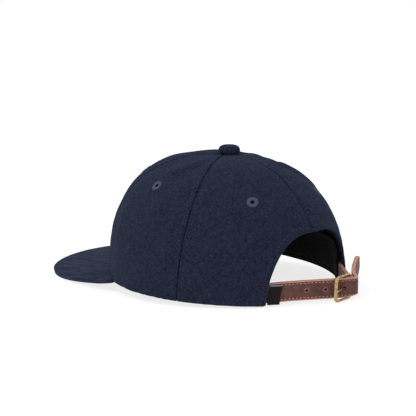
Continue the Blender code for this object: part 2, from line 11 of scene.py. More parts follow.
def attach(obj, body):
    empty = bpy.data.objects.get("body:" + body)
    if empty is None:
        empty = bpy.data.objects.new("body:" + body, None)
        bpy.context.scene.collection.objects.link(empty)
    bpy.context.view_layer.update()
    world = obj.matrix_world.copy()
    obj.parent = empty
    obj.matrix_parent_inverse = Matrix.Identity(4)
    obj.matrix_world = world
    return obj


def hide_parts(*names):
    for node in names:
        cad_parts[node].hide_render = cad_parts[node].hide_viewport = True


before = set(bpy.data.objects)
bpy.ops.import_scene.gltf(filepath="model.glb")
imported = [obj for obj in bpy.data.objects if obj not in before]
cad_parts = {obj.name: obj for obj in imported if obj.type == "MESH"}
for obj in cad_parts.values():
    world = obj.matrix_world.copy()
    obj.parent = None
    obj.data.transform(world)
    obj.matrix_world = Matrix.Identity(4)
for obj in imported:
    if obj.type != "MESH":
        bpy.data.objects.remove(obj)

bl_info = {
    "name": "Strapback Cap",
    "version": (1, 0, 0),
    "blender": (4, 5, 0),
    "location": "3D View > Sidebar > Cap",
    "description": "Dresses a six-panel cap in brushed wool, leather and brass",
    "category": "Object",
}

# The seams of the left half: the angle at the rim, the angle at the top, and the bow between them, in degrees
SEAMS = {
    "front": (-90.0, -90.0, 0.0),
    "fore": (-38.5, -37.0, -4.5),
    "aft": (18.4, 25.0, 0.0),
    "back": (90.0, 90.0, 0.0),
}
PANEL_SEAMS = {"front": ("front", "fore"), "side": ("fore", "aft"), "back": ("aft", "back")}

# The angle round the rim in degrees, and the rise, of each eyelet of the left half
EYELET_PLACES = {"front": (-61.0, 0.570), "side": (-13.5, 0.555), "back": (57.5, 0.482)}

# Half angle in degrees, and fullness of the side and the top, of each half of the rear opening
OPENING = {"left": (31.0, 2.6, 1.7), "right": (33.5, 4.2, 2.0)}

# Share of a back panel's lower end that lies on the rim, before the opening
RIM_SHARE = 5 / 16

# Soft ridges in the wool, which fade at both ends: the side, the height and width in metres, and places along
# each as angle in degrees and rise
RIDGES = (
    ("left", 0.0020, 0.0056, ((13, 0.90), (4, 0.80), (-6, 0.72), (-12, 0.66), (-20, 0.60))),
    ("left", 0.0011, 0.0062, ((20, 0.66), (11, 0.55), (2, 0.46), (-8, 0.38))),
    ("left", 0.0007, 0.0065, ((-30, 0.42), (-25, 0.27), (-22, 0.12))),
    ("right", 0.0022, 0.0046, ((73, 0.80), (60, 0.73), (55, 0.66), (50, 0.58), (46, 0.48))),
    ("right", 0.0014, 0.0060, ((10, 0.85), (-2, 0.72), (-14, 0.60))),
)

RIDGE_STEPS = 24

SIDES = ("left", "right")
UP = Vector((0.0, 0.0, 1.0))
CROWN_MIDDLE = Vector((0.0, 0.0, 0.02))

# Small step, in radians round the rim and in rise, that finds the way a surface looks
NUDGE = 1e-3

# Stitches lie on both faces of a strap: the face's side of the middle, and the turn that lays a stitch on it
FACES = ((1, Matrix.Identity(4)), (-1, Matrix.Rotation(pi, 4, "X")))


def size(label, default, text):
    """A length in metres for the sidebar."""
    shown = {"min": 0.0, "unit": "LENGTH", "precision": 4}
    return FloatProperty(name=label, description=text, default=default, **shown)


def number(label, default, text):
    """A plain number for the sidebar."""
    return FloatProperty(name=label, description=text, default=default)


def tint(label, default, text):
    """A linear colour for the sidebar."""
    shown = {"subtype": "COLOR", "min": 0.0, "max": 1.0}
    return FloatVectorProperty(name=label, description=text, default=default, **shown)


def turn(label, degrees, text):
    """An angle for the sidebar."""
    shown = {"subtype": "ANGLE", "unit": "ROTATION"}
    return FloatProperty(name=label, description=text, default=radians(degrees), **shown)


class CapCrownSizes(bpy.types.PropertyGroup):
    """Sizes of the crown, its cloth and its place at rest."""

    length: size("Length", 0.200, "From the front of the crown to its rear")
    width: size("Width", 0.1764, "From side to side of the crown")
    height: size("Height", 0.0983, "From the rim's plane to the top of the crown")
    lean: size("Forward lean", 0.0041, "How far the top lies in front of the rim's middle")
    front_fullness: number("Front fullness", 2.76, "How square the crown's profile is in front")
    side_fullness: number("Side fullness", 2.08, "How square the crown's profile is at the sides")
    rear_fullness: number("Rear fullness", 2.53, "How square the crown's profile is behind")
    rear_narrowing: number("Rear narrowing", 0.087, "How much narrower the rear half of the rim is")
    arch_height: size("Opening height", 0.050, "Height of the rear opening above the rim")
    cloth: size("Cloth", 0.0012, "Thickness of one layer of the wool")
    hem: size("Hem", 0.0034, "Thickness of the wool where it is turned in at an edge")
    strap_depth: size("Strap depth", 0.0023, "How far the straps' sewn ends lie inside the outer face")
    swell: size("Panel swell", 0.0010, "How far each panel stands out between its seams")
    groove: size("Seam groove", 0.0014, "How far the cloth rolls in at a seam")
    groove_width: size("Seam roll", 0.0005, "Distance over which the cloth rolls into a seam")
    folds: size("Folds", 0.0010, "Depth of the soft folds of the wool")
    stitch_row: size("Stitch row", 0.0034, "Distance of a stitch row from its seam")
    hem_row: size("Hem row", 0.0040, "Distance of the stitch row from the opening's edge")
    stitch: size("Stitch", 0.0019, "Length of one stitch on the wool")
    stitch_pitch: size("Stitch pitch", 0.0031, "Distance from one stitch on the wool to the next")
    stitch_thread: size("Thread", 0.00034, "Diameter of the thread on the wool")
    top_hole: size("Top hole", 0.0042, "Radius left open at the top, under the button")
    lining_depth: size("Lining depth", 0.0027, "Distance of the lining inside the crown's outer face")
    rest_lean: turn("Resting lean", -2.953923652, "Turn that lays the cap on its peak and its rear")
    rest_back: size("Resting shift", 0.029564865, "Distance back that centres the resting cap")
    rest_up: size("Resting height", 0.00537039, "Height of the rim's middle over the floor")


class CapPartSizes(bpy.types.PropertyGroup):
    """Sizes of the peak, the button, the eyelets and the sweatband."""

    peak_width: size("Peak width", 0.1740, "From side to side of the peak")
    peak_reach: size("Peak reach", 0.0772, "From the crown's front to the peak's edge")
    peak_widest: size("Widest place", 0.0395, "Distance behind the crown's front where the peak is widest")
    peak_fullness: number("Peak fullness", 2.64, "How square the peak's outline is")
    peak_shoulder: number("Peak shoulder", 0.82, "Share of the outline that lies before the widest place")
    peak_corner: turn("Peak corner", 26.0, "Angle round the rim where the peak meets the crown")
    peak_thickness: size("Peak thickness", 0.0031, "Both cloths and the board between them")
    peak_slope: number("Peak slope", 0.150, "Fall of the peak towards its edge")
    peak_drop: size("Peak drop", 0.0090, "How far the peak's edge lies under the rim")
    peak_arch: size("Peak arch", 0.0107, "How far the peak's sides hang under its middle")
    peak_end: size("Peak end", 0.0020, "Distance of the peak's corner from the crown")
    button: size("Button", 0.0172, "Diameter of the button")
    button_height: size("Button height", 0.0072, "Height of the button over the crown")
    button_shift: size("Button shift", 0.0032, "How far the button sits behind the crown's top")
    eyelet: size("Eyelet", 0.0087, "Outer diameter of an eyelet")
    eyelet_hole: size("Eyelet hole", 0.0027, "Diameter of the hole in an eyelet")
    eyelet_height: size("Eyelet height", 0.0005, "Height of an eyelet's thread over the wool")
    sweatband: size("Sweatband", 0.0013, "Thickness of the sweatband")
    sweatband_height: size("Sweatband height", 0.0300, "Height of the sweatband")
    sweatband_foot: size("Sweatband foot", 0.0015, "Height of the sweatband's lower edge over the rim")
    sweatband_inset: size("Sweatband inset", 0.0012, "Distance of the sweatband's ends from the opening")
    tape: size("Seam tape", 0.0110, "Width of the tapes over the seams inside")


class CapStrapSizes(bpy.types.PropertyGroup):
    """Sizes of the straps, the buckle and the label."""

    width: size("Width", 0.0146, "Width of both straps")
    thickness: size("Thickness", 0.0026, "Thickness of the long strap")
    edge: size("Edge", 0.0005, "Rounding of the straps' edges")
    root_angle: turn("Sewn end", 8.0, "Angle round the rim that a strap's sewn end covers")
    heading: turn("Heading", 149.0, "Direction of the strap's run, seen from above")
    run: size("Run", 0.0630, "Length from the opening's corner to the fold")
    corner_height: size("Corner height", 0.0088, "Height of the strap's middle at the corner")
    fold_height: size("Fold height", 0.0104, "Height of the strap's middle at the fold")
    bow: size("Bow", 0.0004, "How far the run bows up")
    fold: turn("Fold", 92.0, "Turn of the strap round the buckle")
    free_end: size("Free end", 0.0370, "Length of the strap after its fold")
    free_turn: turn("Free end's turn", -28.0, "Turn of the free end, seen from above")
    free_rise: turn("Free end's rise", 14.5, "Rise of the free end")
    free_lean: turn("Free end's lean", 2.0, "Lean of the free end")
    taper: size("Taper", 0.0120, "Length of the strap's rounded point")
    hole: size("Hole", 0.0024, "Diameter of the holes in the strap")
    hole_pitch: size("Hole pitch", 0.0142, "Distance from one hole to the next")
    stitch_row: size("Stitch row", 0.0019, "Distance of a stitch row from the strap's edge")
    stitch: size("Stitch", 0.0019, "Length of one stitch on the leather")
    stitch_pitch: size("Stitch pitch", 0.0028, "Distance from one stitch on the leather to the next")
    stitch_thread: size("Thread", 0.00070, "Diameter of the thread on the leather")
    layer: size("Short strap's layer", 0.0010, "Thickness of one layer of the short strap")
    gap: size("Gap", 0.0003, "Space between the strap, the wire and the prong")
    wire: size("Buckle wire", 0.0020, "Diameter of the buckle's wire")
    front_bar: size("Front bar", 0.0030, "Thickness of the buckle's front bar")
    prong: size("Prong", 0.0020, "Diameter of the buckle's prong")
    buckle_depth: size("Buckle depth", 0.0180, "From the hinge bar to the front bar")
    buckle_turn: turn("Buckle turn", 39.0, "Angle between the buckle and the strap's run")
    buckle_corner: size("Buckle corner", 0.0040, "Rounding of the buckle's front corners")
    hinge_corner: size("Hinge corner", 0.0015, "Rounding of the buckle's corners at the hinge bar")
    slack: size("Buckle slack", 0.0006, "Space between the strap's edge and the buckle")
    overhang: size("Prong overhang", 0.0022, "How far the prong reaches over the front bar")
    loop_turn: turn("Prong loop", 245.0, "How far the prong runs round the hinge bar")
    label: size("Label", 0.0010, "Thickness of the folded label")
    label_width: size("Label width", 0.0092, "Width of the label along the strap")
    label_drop: size("Label drop", 0.0010, "How far the label hangs under the strap")
    label_place: size("Label place", 0.0012, "Distance of the label from the opening's corner")


class CapColours(bpy.types.PropertyGroup):
    """Colours of the cap and its stage."""

    wool_dark: tint("Wool, dark", (0.0062, 0.0080, 0.0165), "The wool between its fibres")
    wool_light: tint("Wool, light", (0.0255, 0.0310, 0.0570), "The wool's raised fibres")
    thread: tint("Seam thread", (0.045, 0.054, 0.084), "Thread of the seams in the wool")
    eyelet: tint("Eyelet thread", (0.066, 0.080, 0.132), "Thread of the eyelets")
    leather: tint("Leather", (0.126, 0.058, 0.050), "Face of the straps")
    leather_dark: tint("Leather, dark", (0.082, 0.037, 0.032), "Pressed and worn parts of the straps")
    # The cut edge's own pale colour, made lighter still by a painted highlight where light catches the edge
    leather_edge_and_highlight: tint("Leather edge", (0.520, 0.270, 0.205), "Cut edge of the straps")
    strap_thread: tint("Strap thread", (0.540, 0.285, 0.190), "Thread of the straps")
    brass: tint("Brass", (0.500, 0.355, 0.165), "Bright metal of the buckle")
    patina: tint("Patina", (0.200, 0.130, 0.062), "Dull metal of the buckle")
    black: tint("Black cloth", (0.0010, 0.0010, 0.0011), "Lining and sweatband between their threads")
    black_light: tint("Black cloth, raised", (0.0036, 0.0036, 0.0038), "Raised threads of the black cloth")
    label: tint("Label", (0.0080, 0.0082, 0.0090), "Face of the label")
    label_fold: tint("Label fold", (0.300, 0.285, 0.340), "Worn fold of the label")
    floor: tint("Floor", (0.22, 0.22, 0.22), "Floor under the cap")


class CapStageSizes(bpy.types.PropertyGroup):
    """Camera, lights and floor."""

    camera_azimuth: turn("Camera azimuth", 138.81, "Direction of the camera round the cap")
    camera_elevation: turn("Camera elevation", 10.966, "Angle of the camera over the rim's plane")
    camera_distance: size("Camera distance", 0.954, "From the rim's middle to the camera")
    camera_right: number("Camera shift right", -0.01723, "Sideways shift of the camera in metres")
    camera_up: number("Camera shift up", 0.05399, "Upward shift of the camera in metres")
    lens: number("Lens", 103.12, "Focal length in millimetres, for a sensor 36 mm wide")
    glow: number("Floor glow", 0.80, "Light that comes up through the floor, as from a light table")
    world: number("Sky strength", 1.02, "Brightness of the white surroundings")
    key: number("Key light", 9.0, "Power of the large light over the cap, in watts")
    fill: number("Fill light", 1.0, "Power of the light on the side, in watts")
    floor: size("Floor", 60.0, "Width of the floor")


def sizes(name):
    """One of the cap's groups of settings."""
    return getattr(bpy.context.scene, name)


# Shapes shared by the pieces, with the rim on the plane z = 0 and the rim's middle at the origin


def blend(low, high, amount):
    """A value between low and high."""
    return low + (high - low) * amount


def smooth(amount):
    """Eases a share of 0 to 1, and holds it inside that range."""
    amount = min(max(amount, 0.0), 1.0)
    return amount * amount * (3 - 2 * amount)


def bump(distance, width):
    """A soft ridge that is 1 at no distance and fades over the width."""
    return exp(-((distance / width) ** 2))


def crowd(amount, strength=0.85):
    """Moves a share of 0 to 1 nearer to its ends."""
    return amount - strength * sin(2 * pi * amount) / (2 * pi)


def on_side(side, point):
    """The point itself on the left half, and its mirror image on the right half."""
    return point if side == "left" else Vector((-point.x, point.y, point.z))


def standing(place, along, out):
    """Matrix at a place, whose Z looks out and whose X runs along a direction as far as it lies across Z."""
    x_axis = (along - out * along.dot(out)).normalized()
    axes = Matrix((x_axis, out.cross(x_axis), out)).transposed().to_4x4()
    return Matrix.Translation(place) @ axes


def search_tree(points):
    """Points that distances are measured from."""
    tree = KDTree(len(points))
    for i, point in enumerate(points):
        tree.insert(point, i)
    tree.balance()
    return tree


def lengths_along(points):
    """Length of a line up to each of its points."""
    lengths = [0.0]
    for before, after in zip(points, points[1:]):
        lengths.append(lengths[-1] + (after - before).length)
    return lengths


def plan(heading, length=1.0):
    """A horizontal vector of a heading, counter-clockwise from +X."""
    return Vector((cos(heading), sin(heading), 0.0)) * length


def resting():
    """The matrix that lays the cap on its peak and its rear."""
    crown = sizes("cap_crown")
    shift = Vector((0.0, crown.rest_back, crown.rest_up))
    return Matrix.Translation(shift) @ Matrix.Rotation(crown.rest_lean, 4, "X")


class Crown:
    """The crown's outer face. Angles are those of the left half, which the right half mirrors."""

    row_dip = 0.00016
    row_width = 0.0007
    pucker = 0.00016
    pucker_size = 0.0062
    pucker_reach = 0.007
    fold_size = 0.034
    slant_size = 0.036
    hem_layer = 0.00030
    hem_width = 0.0045
    hem_step = 0.004
    hem_end = 0.012
    lip = 0.00035
    lip_width = 0.0009
    hem_dip = 0.00024

    def __init__(self):
        self.sizes = sizes("cap_crown")
        self.edges = {side: self.edge_tree(side) for side in SIDES}
        self.ridges = {side: self.ridge_tree(side) for side in SIDES}

    def fullness(self, angle):
        """Exponent of the crown's profile: full in front, rounder at the sides."""
        crown = self.sizes
        front = max(-sin(angle), 0.0) ** 1.5
        rear = max(sin(angle), 0.0) ** 1.5
        sides = crown.side_fullness * (1 - front - rear)
        return crown.front_fullness * front + crown.rear_fullness * rear + sides

    def surface(self, angle, rise):
        """Plain outer face, for an angle round the rim and a rise of 0 at the rim to 1 at the top."""
        crown = self.sizes
        power = 2 / self.fullness(angle)
        reach = max(cos(rise * pi / 2), 0.0) ** power
        lift = max(sin(rise * pi / 2), 0.0) ** power
        x = crown.width / 2 * (1 - crown.rear_narrowing * sin(angle)) * cos(angle) * reach
        y = crown.length / 2 * sin(angle) * reach - crown.lean * lift
        return Vector((x, y, crown.height * lift))

    def normal(self, angle, rise):
        """Direction that the plain outer face looks in."""
        along = self.surface(angle + NUDGE, rise) - self.surface(angle - NUDGE, rise)
        up = self.surface(angle, min(rise + NUDGE, 1.0)) - self.surface(angle, max(rise - NUDGE, 0.0))
        return along.cross(up).normalized()

    def inside(self, side, angle, rise, depth):
        """A point that lies depth inside the plain outer face."""
        return on_side(side, self.surface(angle, rise) - self.normal(angle, rise) * depth)

    def rise_at(self, angle, height):
        """The rise at a height above the rim."""
        return asin(min(height / self.sizes.height, 1.0) ** (self.fullness(angle) / 2)) * 2 / pi

    def top_rise(self, angle):
        """The rise at which the crown has closed in to the hole at its top."""
        rim = self.surface(angle, 0.0)
        return acos((self.sizes.top_hole / hypot(rim.x, rim.y)) ** (self.fullness(angle) / 2)) * 2 / pi

    def opening(self, side, share, inset=0.0):
        """Angle and rise of the rear opening's edge, for a share of 0 at its corner to 1 at its top."""
        half_angle, side_fullness, top_fullness = OPENING[side]
        quarter = share * pi / 2
        offset = radians(half_angle) * max(cos(quarter), 0.0) ** (2 / side_fullness)
        angle = pi / 2 - offset - self.turned(inset)
        height = (self.sizes.arch_height + inset) * sin(quarter) ** (2 / top_fullness)
        return angle, self.rise_at(angle, height)

    def turned(self, distance):
        """A distance along the rim, as an angle."""
        return 2 * distance / self.sizes.length

    def opening_angle(self, side, height):
        """Angle of the opening's edge at a height above the rim."""
        half_angle, side_fullness, top_fullness = OPENING[side]
        quarter = asin((height / self.sizes.arch_height) ** (top_fullness / 2))
        return pi / 2 - radians(half_angle) * cos(quarter) ** (2 / side_fullness)

    def seam(self, name, rise):
        """Angle of a seam at a rise."""
        rim, top, bow = SEAMS[name]
        return radians(blend(rim, top, rise) + 4 * bow * rise * (1 - rise))

    def edge_tree(self, side):
        """Points along the rim and the opening's edge, to measure distances from."""
        corner = self.opening(side, 0.0)[0]
        around = [(blend(-pi / 2, corner, i / 400), 0.0) for i in range(400)]
        places = around + [self.opening(side, i / 300) for i in range(301)]
        return search_tree([self.surface(angle, rise) for angle, rise in places])

    def ridge_tree(self, side):
        """Points along the soft ridges of one half, with the height and width at each."""
        points = []
        forms = []
        for ridge_side, height, width, places in RIDGES:
            steps = RIDGE_STEPS * (len(places) - 1) if ridge_side == side else 0
            for i in range(steps):
                at, share = divmod(i / RIDGE_STEPS, 1)
                (angle, rise), (next_angle, next_rise) = places[int(at)], places[int(at) + 1]
                angle = radians(blend(angle, next_angle, share))
                points.append(self.surface(angle, blend(rise, next_rise, share)))
                forms.append((height * sin(pi * i / steps) ** 0.6, width))
        return search_tree(points), forms

    def ridge(self, side, here):
        """Height of the nearest soft ridge at a point."""
        tree, forms = self.ridges[side]
        nearest = tree.find(here)
        height, width = forms[nearest[1]]
        return height * bump(nearest[2], width)

    def foot(self, side, place, across):
        """Angle and rise of a panel's lower end, along the rim and then up the opening."""
        low, high = (self.seam(seam, 0.0) for seam in PANEL_SEAMS[place])
        if place != "back":
            return blend(low, high, across), 0.0
        if across <= RIM_SHARE:
            return blend(low, self.opening(side, 0.0)[0], across / RIM_SHARE), 0.0
        return self.opening(side, (across - RIM_SHARE) / (1 - RIM_SHARE))

    def place_on(self, side, place, across, up):
        """Angle and rise on a panel, for shares of 0 to 1 from seam to seam and from edge to top."""
        foot_angle, foot_rise = self.foot(side, place, across)
        low, high = (self.seam(seam, 1.0) for seam in PANEL_SEAMS[place])
        head_angle = blend(low, high, across)
        return blend(foot_angle, head_angle, up), blend(foot_rise, self.top_rise(head_angle), up)

    def seam_distance(self, angle, rise, here):
        """Distance from the nearest seam at the same height."""
        return min(abs(angle - self.seam(name, rise)) for name in SEAMS) * self.radius(here)

    def radius(self, here):
        """Distance from the crown's leaning middle line."""
        crown = self.sizes
        return hypot(here.x, here.y + crown.lean * (here.z / crown.height))

    def swell(self, angle, rise):
        """How far the cloth stands out between its seams."""
        lines = [self.seam(name, rise) for name in SEAMS]
        for low, high in zip(lines, lines[1:]):
            if low <= angle <= high:
                return self.sizes.swell * sin(pi * (angle - low) / (high - low)) * sin(pi * rise)
        return 0.0

    def folds(self, point, rise, from_seam):
        """Soft folds, stronger near the top, and puckers along the seams."""
        crown = self.sizes
        upright = Vector((point.x, point.y * 0.8, point.z * 1.4)) / self.fold_size
        broad = noise.noise(upright + Vector((3.1, 7.7, 1.9)))
        slanted = Vector((point.x * 0.9 + point.z, (point.y - point.z) * 2.2, point.z - point.x))
        fold = abs(noise.noise(slanted / self.slant_size + Vector((9.4, 2.6, 5.5))))
        pucker = noise.noise(point / self.pucker_size) * bump(from_seam, self.pucker_reach)
        upper = blend(0.45, 1.0, smooth(rise * 1.3))
        return crown.folds * upper * (0.6 * broad + 0.9 * (0.3 - fold)) + self.pucker * pucker

    def cloth(self, side, angle, rise):
        """Point on the wool itself, with its swell, seams, hems and folds."""
        crown = self.sizes
        here = self.surface(angle, rise)
        from_seam = self.seam_distance(angle, rise, here)
        from_edge = self.edges[side].find(here)[2]
        out = self.swell(angle, rise) + self.folds(on_side(side, here), rise, from_seam)
        out += self.ridge(side, here)
        out -= crown.groove * bump(from_seam, crown.groove_width)
        out -= self.row_dip * bump(from_seam - crown.stitch_row, self.row_width)
        if from_edge < self.hem_end:
            out += self.hem_layer * (1 - smooth((from_edge - self.hem_width) / self.hem_step))
            out += self.lip * bump(from_edge - crown.cloth, self.lip_width)
            out -= self.hem_dip * bump(from_edge - crown.hem_row, self.row_width)
            roll = crown.cloth
            sunk = max(roll - from_edge, 0.0)
            out -= roll - sqrt(max(roll * roll - sunk * sunk, 0.0))
        return on_side(side, here + self.normal(angle, rise) * out)

    def cloth_frame(self, side, angle, rise, along):
        """Matrix on the wool whose Z looks out and whose X runs along a direction."""
        return standing(self.cloth(side, angle, rise), along, on_side(side, self.normal(angle, rise)))


# Modelling helpers


def deselect():
    """Leaves nothing selected, so that an operator works on new pieces only."""
    bpy.ops.object.select_all(action="DESELECT")


def choose(piece):
    """Makes one piece the selected and active object."""
    deselect()
    piece.select_set(True)
    bpy.context.view_layer.objects.active = piece


def wrapped(name, columns, rows, shape, closed=False):
    """A sheet bent to a shape, which gives a point for shares of 0 to 1 across and along it.

    Closed joins the sheet's two sides."""
    deselect()
    bpy.ops.mesh.primitive_grid_add(x_subdivisions=columns, y_subdivisions=rows, size=2.0)
    piece = bpy.context.object
    piece.name = name
    piece.data.name = name
    for vertex in piece.data.vertices:
        vertex.co = shape((vertex.co.x + 1) / 2, (vertex.co.y + 1) / 2)
    if closed:
        in_edit_mode(piece, lambda: bpy.ops.mesh.remove_doubles(threshold=1e-6))
    return piece


def in_edit_mode(piece, action):
    """Runs an edit-mode operator on the whole of a piece."""
    choose(piece)
    bpy.ops.object.mode_set(mode="EDIT")
    bpy.ops.mesh.select_all(action="SELECT")
    action()
    bpy.ops.object.mode_set(mode="OBJECT")


def modify(piece, kind, **settings):
    """Adds a modifier and applies it."""
    choose(piece)
    modifier = piece.modifiers.new(kind.title(), kind)
    for name, value in settings.items():
        setattr(modifier, name, value)
    bpy.ops.object.modifier_apply(modifier=modifier.name)


def thicken(piece, thickness, offset=-1.0, **settings):
    """Gives a sheet its thickness."""
    modify(piece, "SOLIDIFY", thickness=thickness, offset=offset, **settings)


def round_edges(piece, width, segments=3, angle=50.0):
    """Rounds the sharp edges of a piece."""
    modify(piece, "BEVEL", width=width, segments=segments, limit_method="ANGLE", angle_limit=radians(angle))


def face_outwards(sheet):
    """Turns a sheet's faces away from the crown's middle, so that it thickens inwards."""
    middle = sheet.data.polygons[len(sheet.data.polygons) // 2]
    if middle.normal.dot(middle.center - CROWN_MIDDLE) < 0:
        in_edit_mode(sheet, bpy.ops.mesh.flip_normals)


def cut_away(piece, tool):
    """Takes a tool's shape out of a piece. The tool itself is used up."""
    modify(piece, "BOOLEAN", operation="DIFFERENCE", solver="EXACT", object=tool)
    bpy.data.objects.remove(tool)


def drill(piece, start, end, diameter):
    """Cuts a round hole through a piece, from start to end."""
    deselect()
    bpy.ops.mesh.primitive_cylinder_add(vertices=32, radius=diameter / 2, depth=(end - start).length)
    tool = bpy.context.object
    turned = UP.rotation_difference(end - start).to_matrix().to_4x4()
    tool.data.transform(Matrix.Translation((start + end) / 2) @ turned)
    cut_away(piece, tool)


def paint(piece, name, value):
    """Stores a number per vertex, worked out from the vertex's place, for the materials to read."""
    attribute = piece.data.attributes.new(name, "FLOAT", "POINT")
    for vertex in piece.data.vertices:
        attribute.data[vertex.index].value = value(vertex.co)


def stitch_shape(name, length, thickness):
    """One stitch: a short thread that dips at both ends."""
    deselect()
    lying = (0, pi / 2, 0)
    bpy.ops.mesh.primitive_cylinder_add(vertices=6, radius=thickness / 2, depth=length, rotation=lying)
    stitch = bpy.context.object
    stitch.name = name
    bpy.ops.object.transform_apply(location=False, rotation=True, scale=False)
    bpy.ops.object.mode_set(mode="EDIT")
    bpy.ops.mesh.select_all(action="SELECT")
    bpy.ops.mesh.bisect(plane_co=(0, 0, 0), plane_no=(1, 0, 0))
    bpy.ops.mesh.select_all(action="SELECT")
    bpy.ops.object.mode_set(mode="OBJECT")
    for vertex in stitch.data.vertices:
        if abs(vertex.co.x) > length * 0.4:
            vertex.co = Vector((vertex.co.x, vertex.co.y * 0.6, vertex.co.z * 0.6 - thickness * 0.45))
    return stitch


def stamped(name, pattern, places):
    """One mesh with a copy of the pattern at each place. The pattern itself is used up."""
    whole = bmesh.new()
    for place in places:
        copy = bmesh.new()
        copy.from_mesh(pattern.data)
        copy.transform(place)
        part = bpy.data.meshes.new("part")
        copy.to_mesh(part)
        copy.free()
        whole.from_mesh(part)
        bpy.data.meshes.remove(part)
    mesh = bpy.data.meshes.new(name)
    whole.to_mesh(mesh)
    whole.free()
    bpy.data.objects.remove(pattern)
    piece = bpy.data.objects.new(name, mesh)
    bpy.context.scene.collection.objects.link(piece)
    return piece


def evenly(points, pitch):
    """Places along a line at an even pitch, each with the line's direction there."""
    lengths = lengths_along(points)
    count = int(lengths[-1] / pitch)
    for i in range(count):
        wanted = (i + 0.5) * lengths[-1] / count
        j = min(bisect_right(lengths, wanted), len(points) - 1)
        share = (wanted - lengths[j - 1]) / (lengths[j] - lengths[j - 1])
        yield (j - 1 + share) / (len(points) - 1), (points[j] - points[j - 1]).normalized()


def hand_over(piece, material, slot, *nodes, smooth_angle=40.0):
    """Lays a finished piece in its resting place, dresses it and lets it stand for its CAD nodes."""
    piece.data.transform(resting())
    in_edit_mode(piece, lambda: bpy.ops.mesh.normals_make_consistent(inside=False))
    piece.data.materials.clear()
    piece.data.materials.append(material)
    choose(piece)
    bpy.ops.object.shade_smooth_by_angle(angle=radians(smooth_angle))
    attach(piece, "root")
    if nodes:
        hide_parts(*nodes)


# Materials


def node(tree, kind, inputs=None, **settings):
    """Adds a shader node with its settings, and links or sets its inputs."""
    made = tree.nodes.new(kind)
    for name, value in settings.items():
        setattr(made, name, value)
    for name, value in (inputs or {}).items():
        if isinstance(value, bpy.types.NodeSocket):
            tree.links.new(value, made.inputs[name])
        else:
            made.inputs[name].default_value = value
    return made


def rgba(colour, share=1.0):
    """A colour for a socket, made darker or lighter by a share."""
    return (*(part * share for part in colour), 1.0)


def group(name, inputs, outputs):
    """A shader node group with typed sockets. Gives the group, its input node and its output node."""
    tree = bpy.data.node_groups.new(name, "ShaderNodeTree")
    for label, kind in inputs.items():
        tree.interface.new_socket(label, in_out="INPUT", socket_type=f"NodeSocket{kind}")
    for label, kind in outputs.items():
        tree.interface.new_socket(label, in_out="OUTPUT", socket_type=f"NodeSocket{kind}")
    return tree, tree.nodes.new("NodeGroupInput"), tree.nodes.new("NodeGroupOutput")


def mix_colour(tree, factor, first, second):
    """Blends two colours and gives the result's socket."""
    inputs = {0: factor, 6: first, 7: second}
    return node(tree, "ShaderNodeMix", inputs, data_type="RGBA").outputs[2]


def maths(tree, operation, first, second=0.5):
    """A sum on two numbers or sockets."""
    return node(tree, "ShaderNodeMath", {0: first, 1: second}, operation=operation).outputs[0]


def weighted(tree, first, first_weight, second, second_weight):
    """Two values added together, each times its weight."""
    parts = (maths(tree, "MULTIPLY", first, first_weight), maths(tree, "MULTIPLY", second, second_weight))
    return maths(tree, "ADD", *parts)


def ramp(tree, value, low, high):
    """Stretches a range of values to 0 to 1."""
    made = node(tree, "ShaderNodeMapRange", {"Value": value, "From Min": low, "From Max": high})
    return made.outputs["Result"]


def grain(tree, where, scale, detail=3.0, roughness=0.6):
    """Noise at a number of patches per metre."""
    inputs = {"Vector": where, "Scale": scale, "Detail": detail, "Roughness": roughness}
    return node(tree, "ShaderNodeTexNoise", inputs).outputs[0]


def stretched(tree, where, stretch):
    """Coordinates drawn out along some axes."""
    return node(tree, "ShaderNodeMapping", {"Vector": where, "Scale": stretch}).outputs[0]


def brushed_wool():
    """Shared group: a height of brushed fibres and a mask of where they stand up."""
    name = "Brushed wool"
    if name in bpy.data.node_groups:
        return bpy.data.node_groups[name]
    tree, given, result = group(name, {"Vector": "Vector"}, {"Height": "Float", "Raised": "Float"})
    where = given.outputs["Vector"]
    fine = grain(tree, where, 820.0, 5.0, 0.85)
    felted = grain(tree, where, 360.0, 3.0, 0.7)
    broad = grain(tree, where, 60.0, 2.0, 0.5)
    hairs = grain(tree, stretched(tree, where, (1.0, 0.35, 2.2)), 900.0, 2.0, 0.5)
    mass = weighted(tree, fine, 0.72, felted, 0.28)
    raised = ramp(tree, weighted(tree, mass, 0.94, broad, 0.06), 0.41, 0.60)
    strays = ramp(tree, hairs, 0.62, 0.74)
    tree.links.new(weighted(tree, mass, 1.0, strays, 0.15), result.inputs["Height"])
    tree.links.new(weighted(tree, raised, 0.75, strays, 1.0), result.inputs["Raised"])
    return tree


def woven():
    """Shared group: a height of crossing threads."""
    name = "Woven threads"
    if name in bpy.data.node_groups:
        return bpy.data.node_groups[name]
    inputs = {"Vector": "Vector", "Threads": "Float"}
    tree, given, result = group(name, inputs, {"Height": "Float"})
    parts = node(tree, "ShaderNodeSeparateXYZ", {0: given.outputs["Vector"]})
    waves = []
    for axis in "XY":
        turned = maths(tree, "MULTIPLY", parts.outputs[axis], given.outputs["Threads"])
        waves.append(maths(tree, "ABSOLUTE", maths(tree, "SINE", turned)))
    crossed = maths(tree, "MULTIPLY", waves[0], waves[1])
    tree.links.new(crossed, result.inputs["Height"])
    return tree


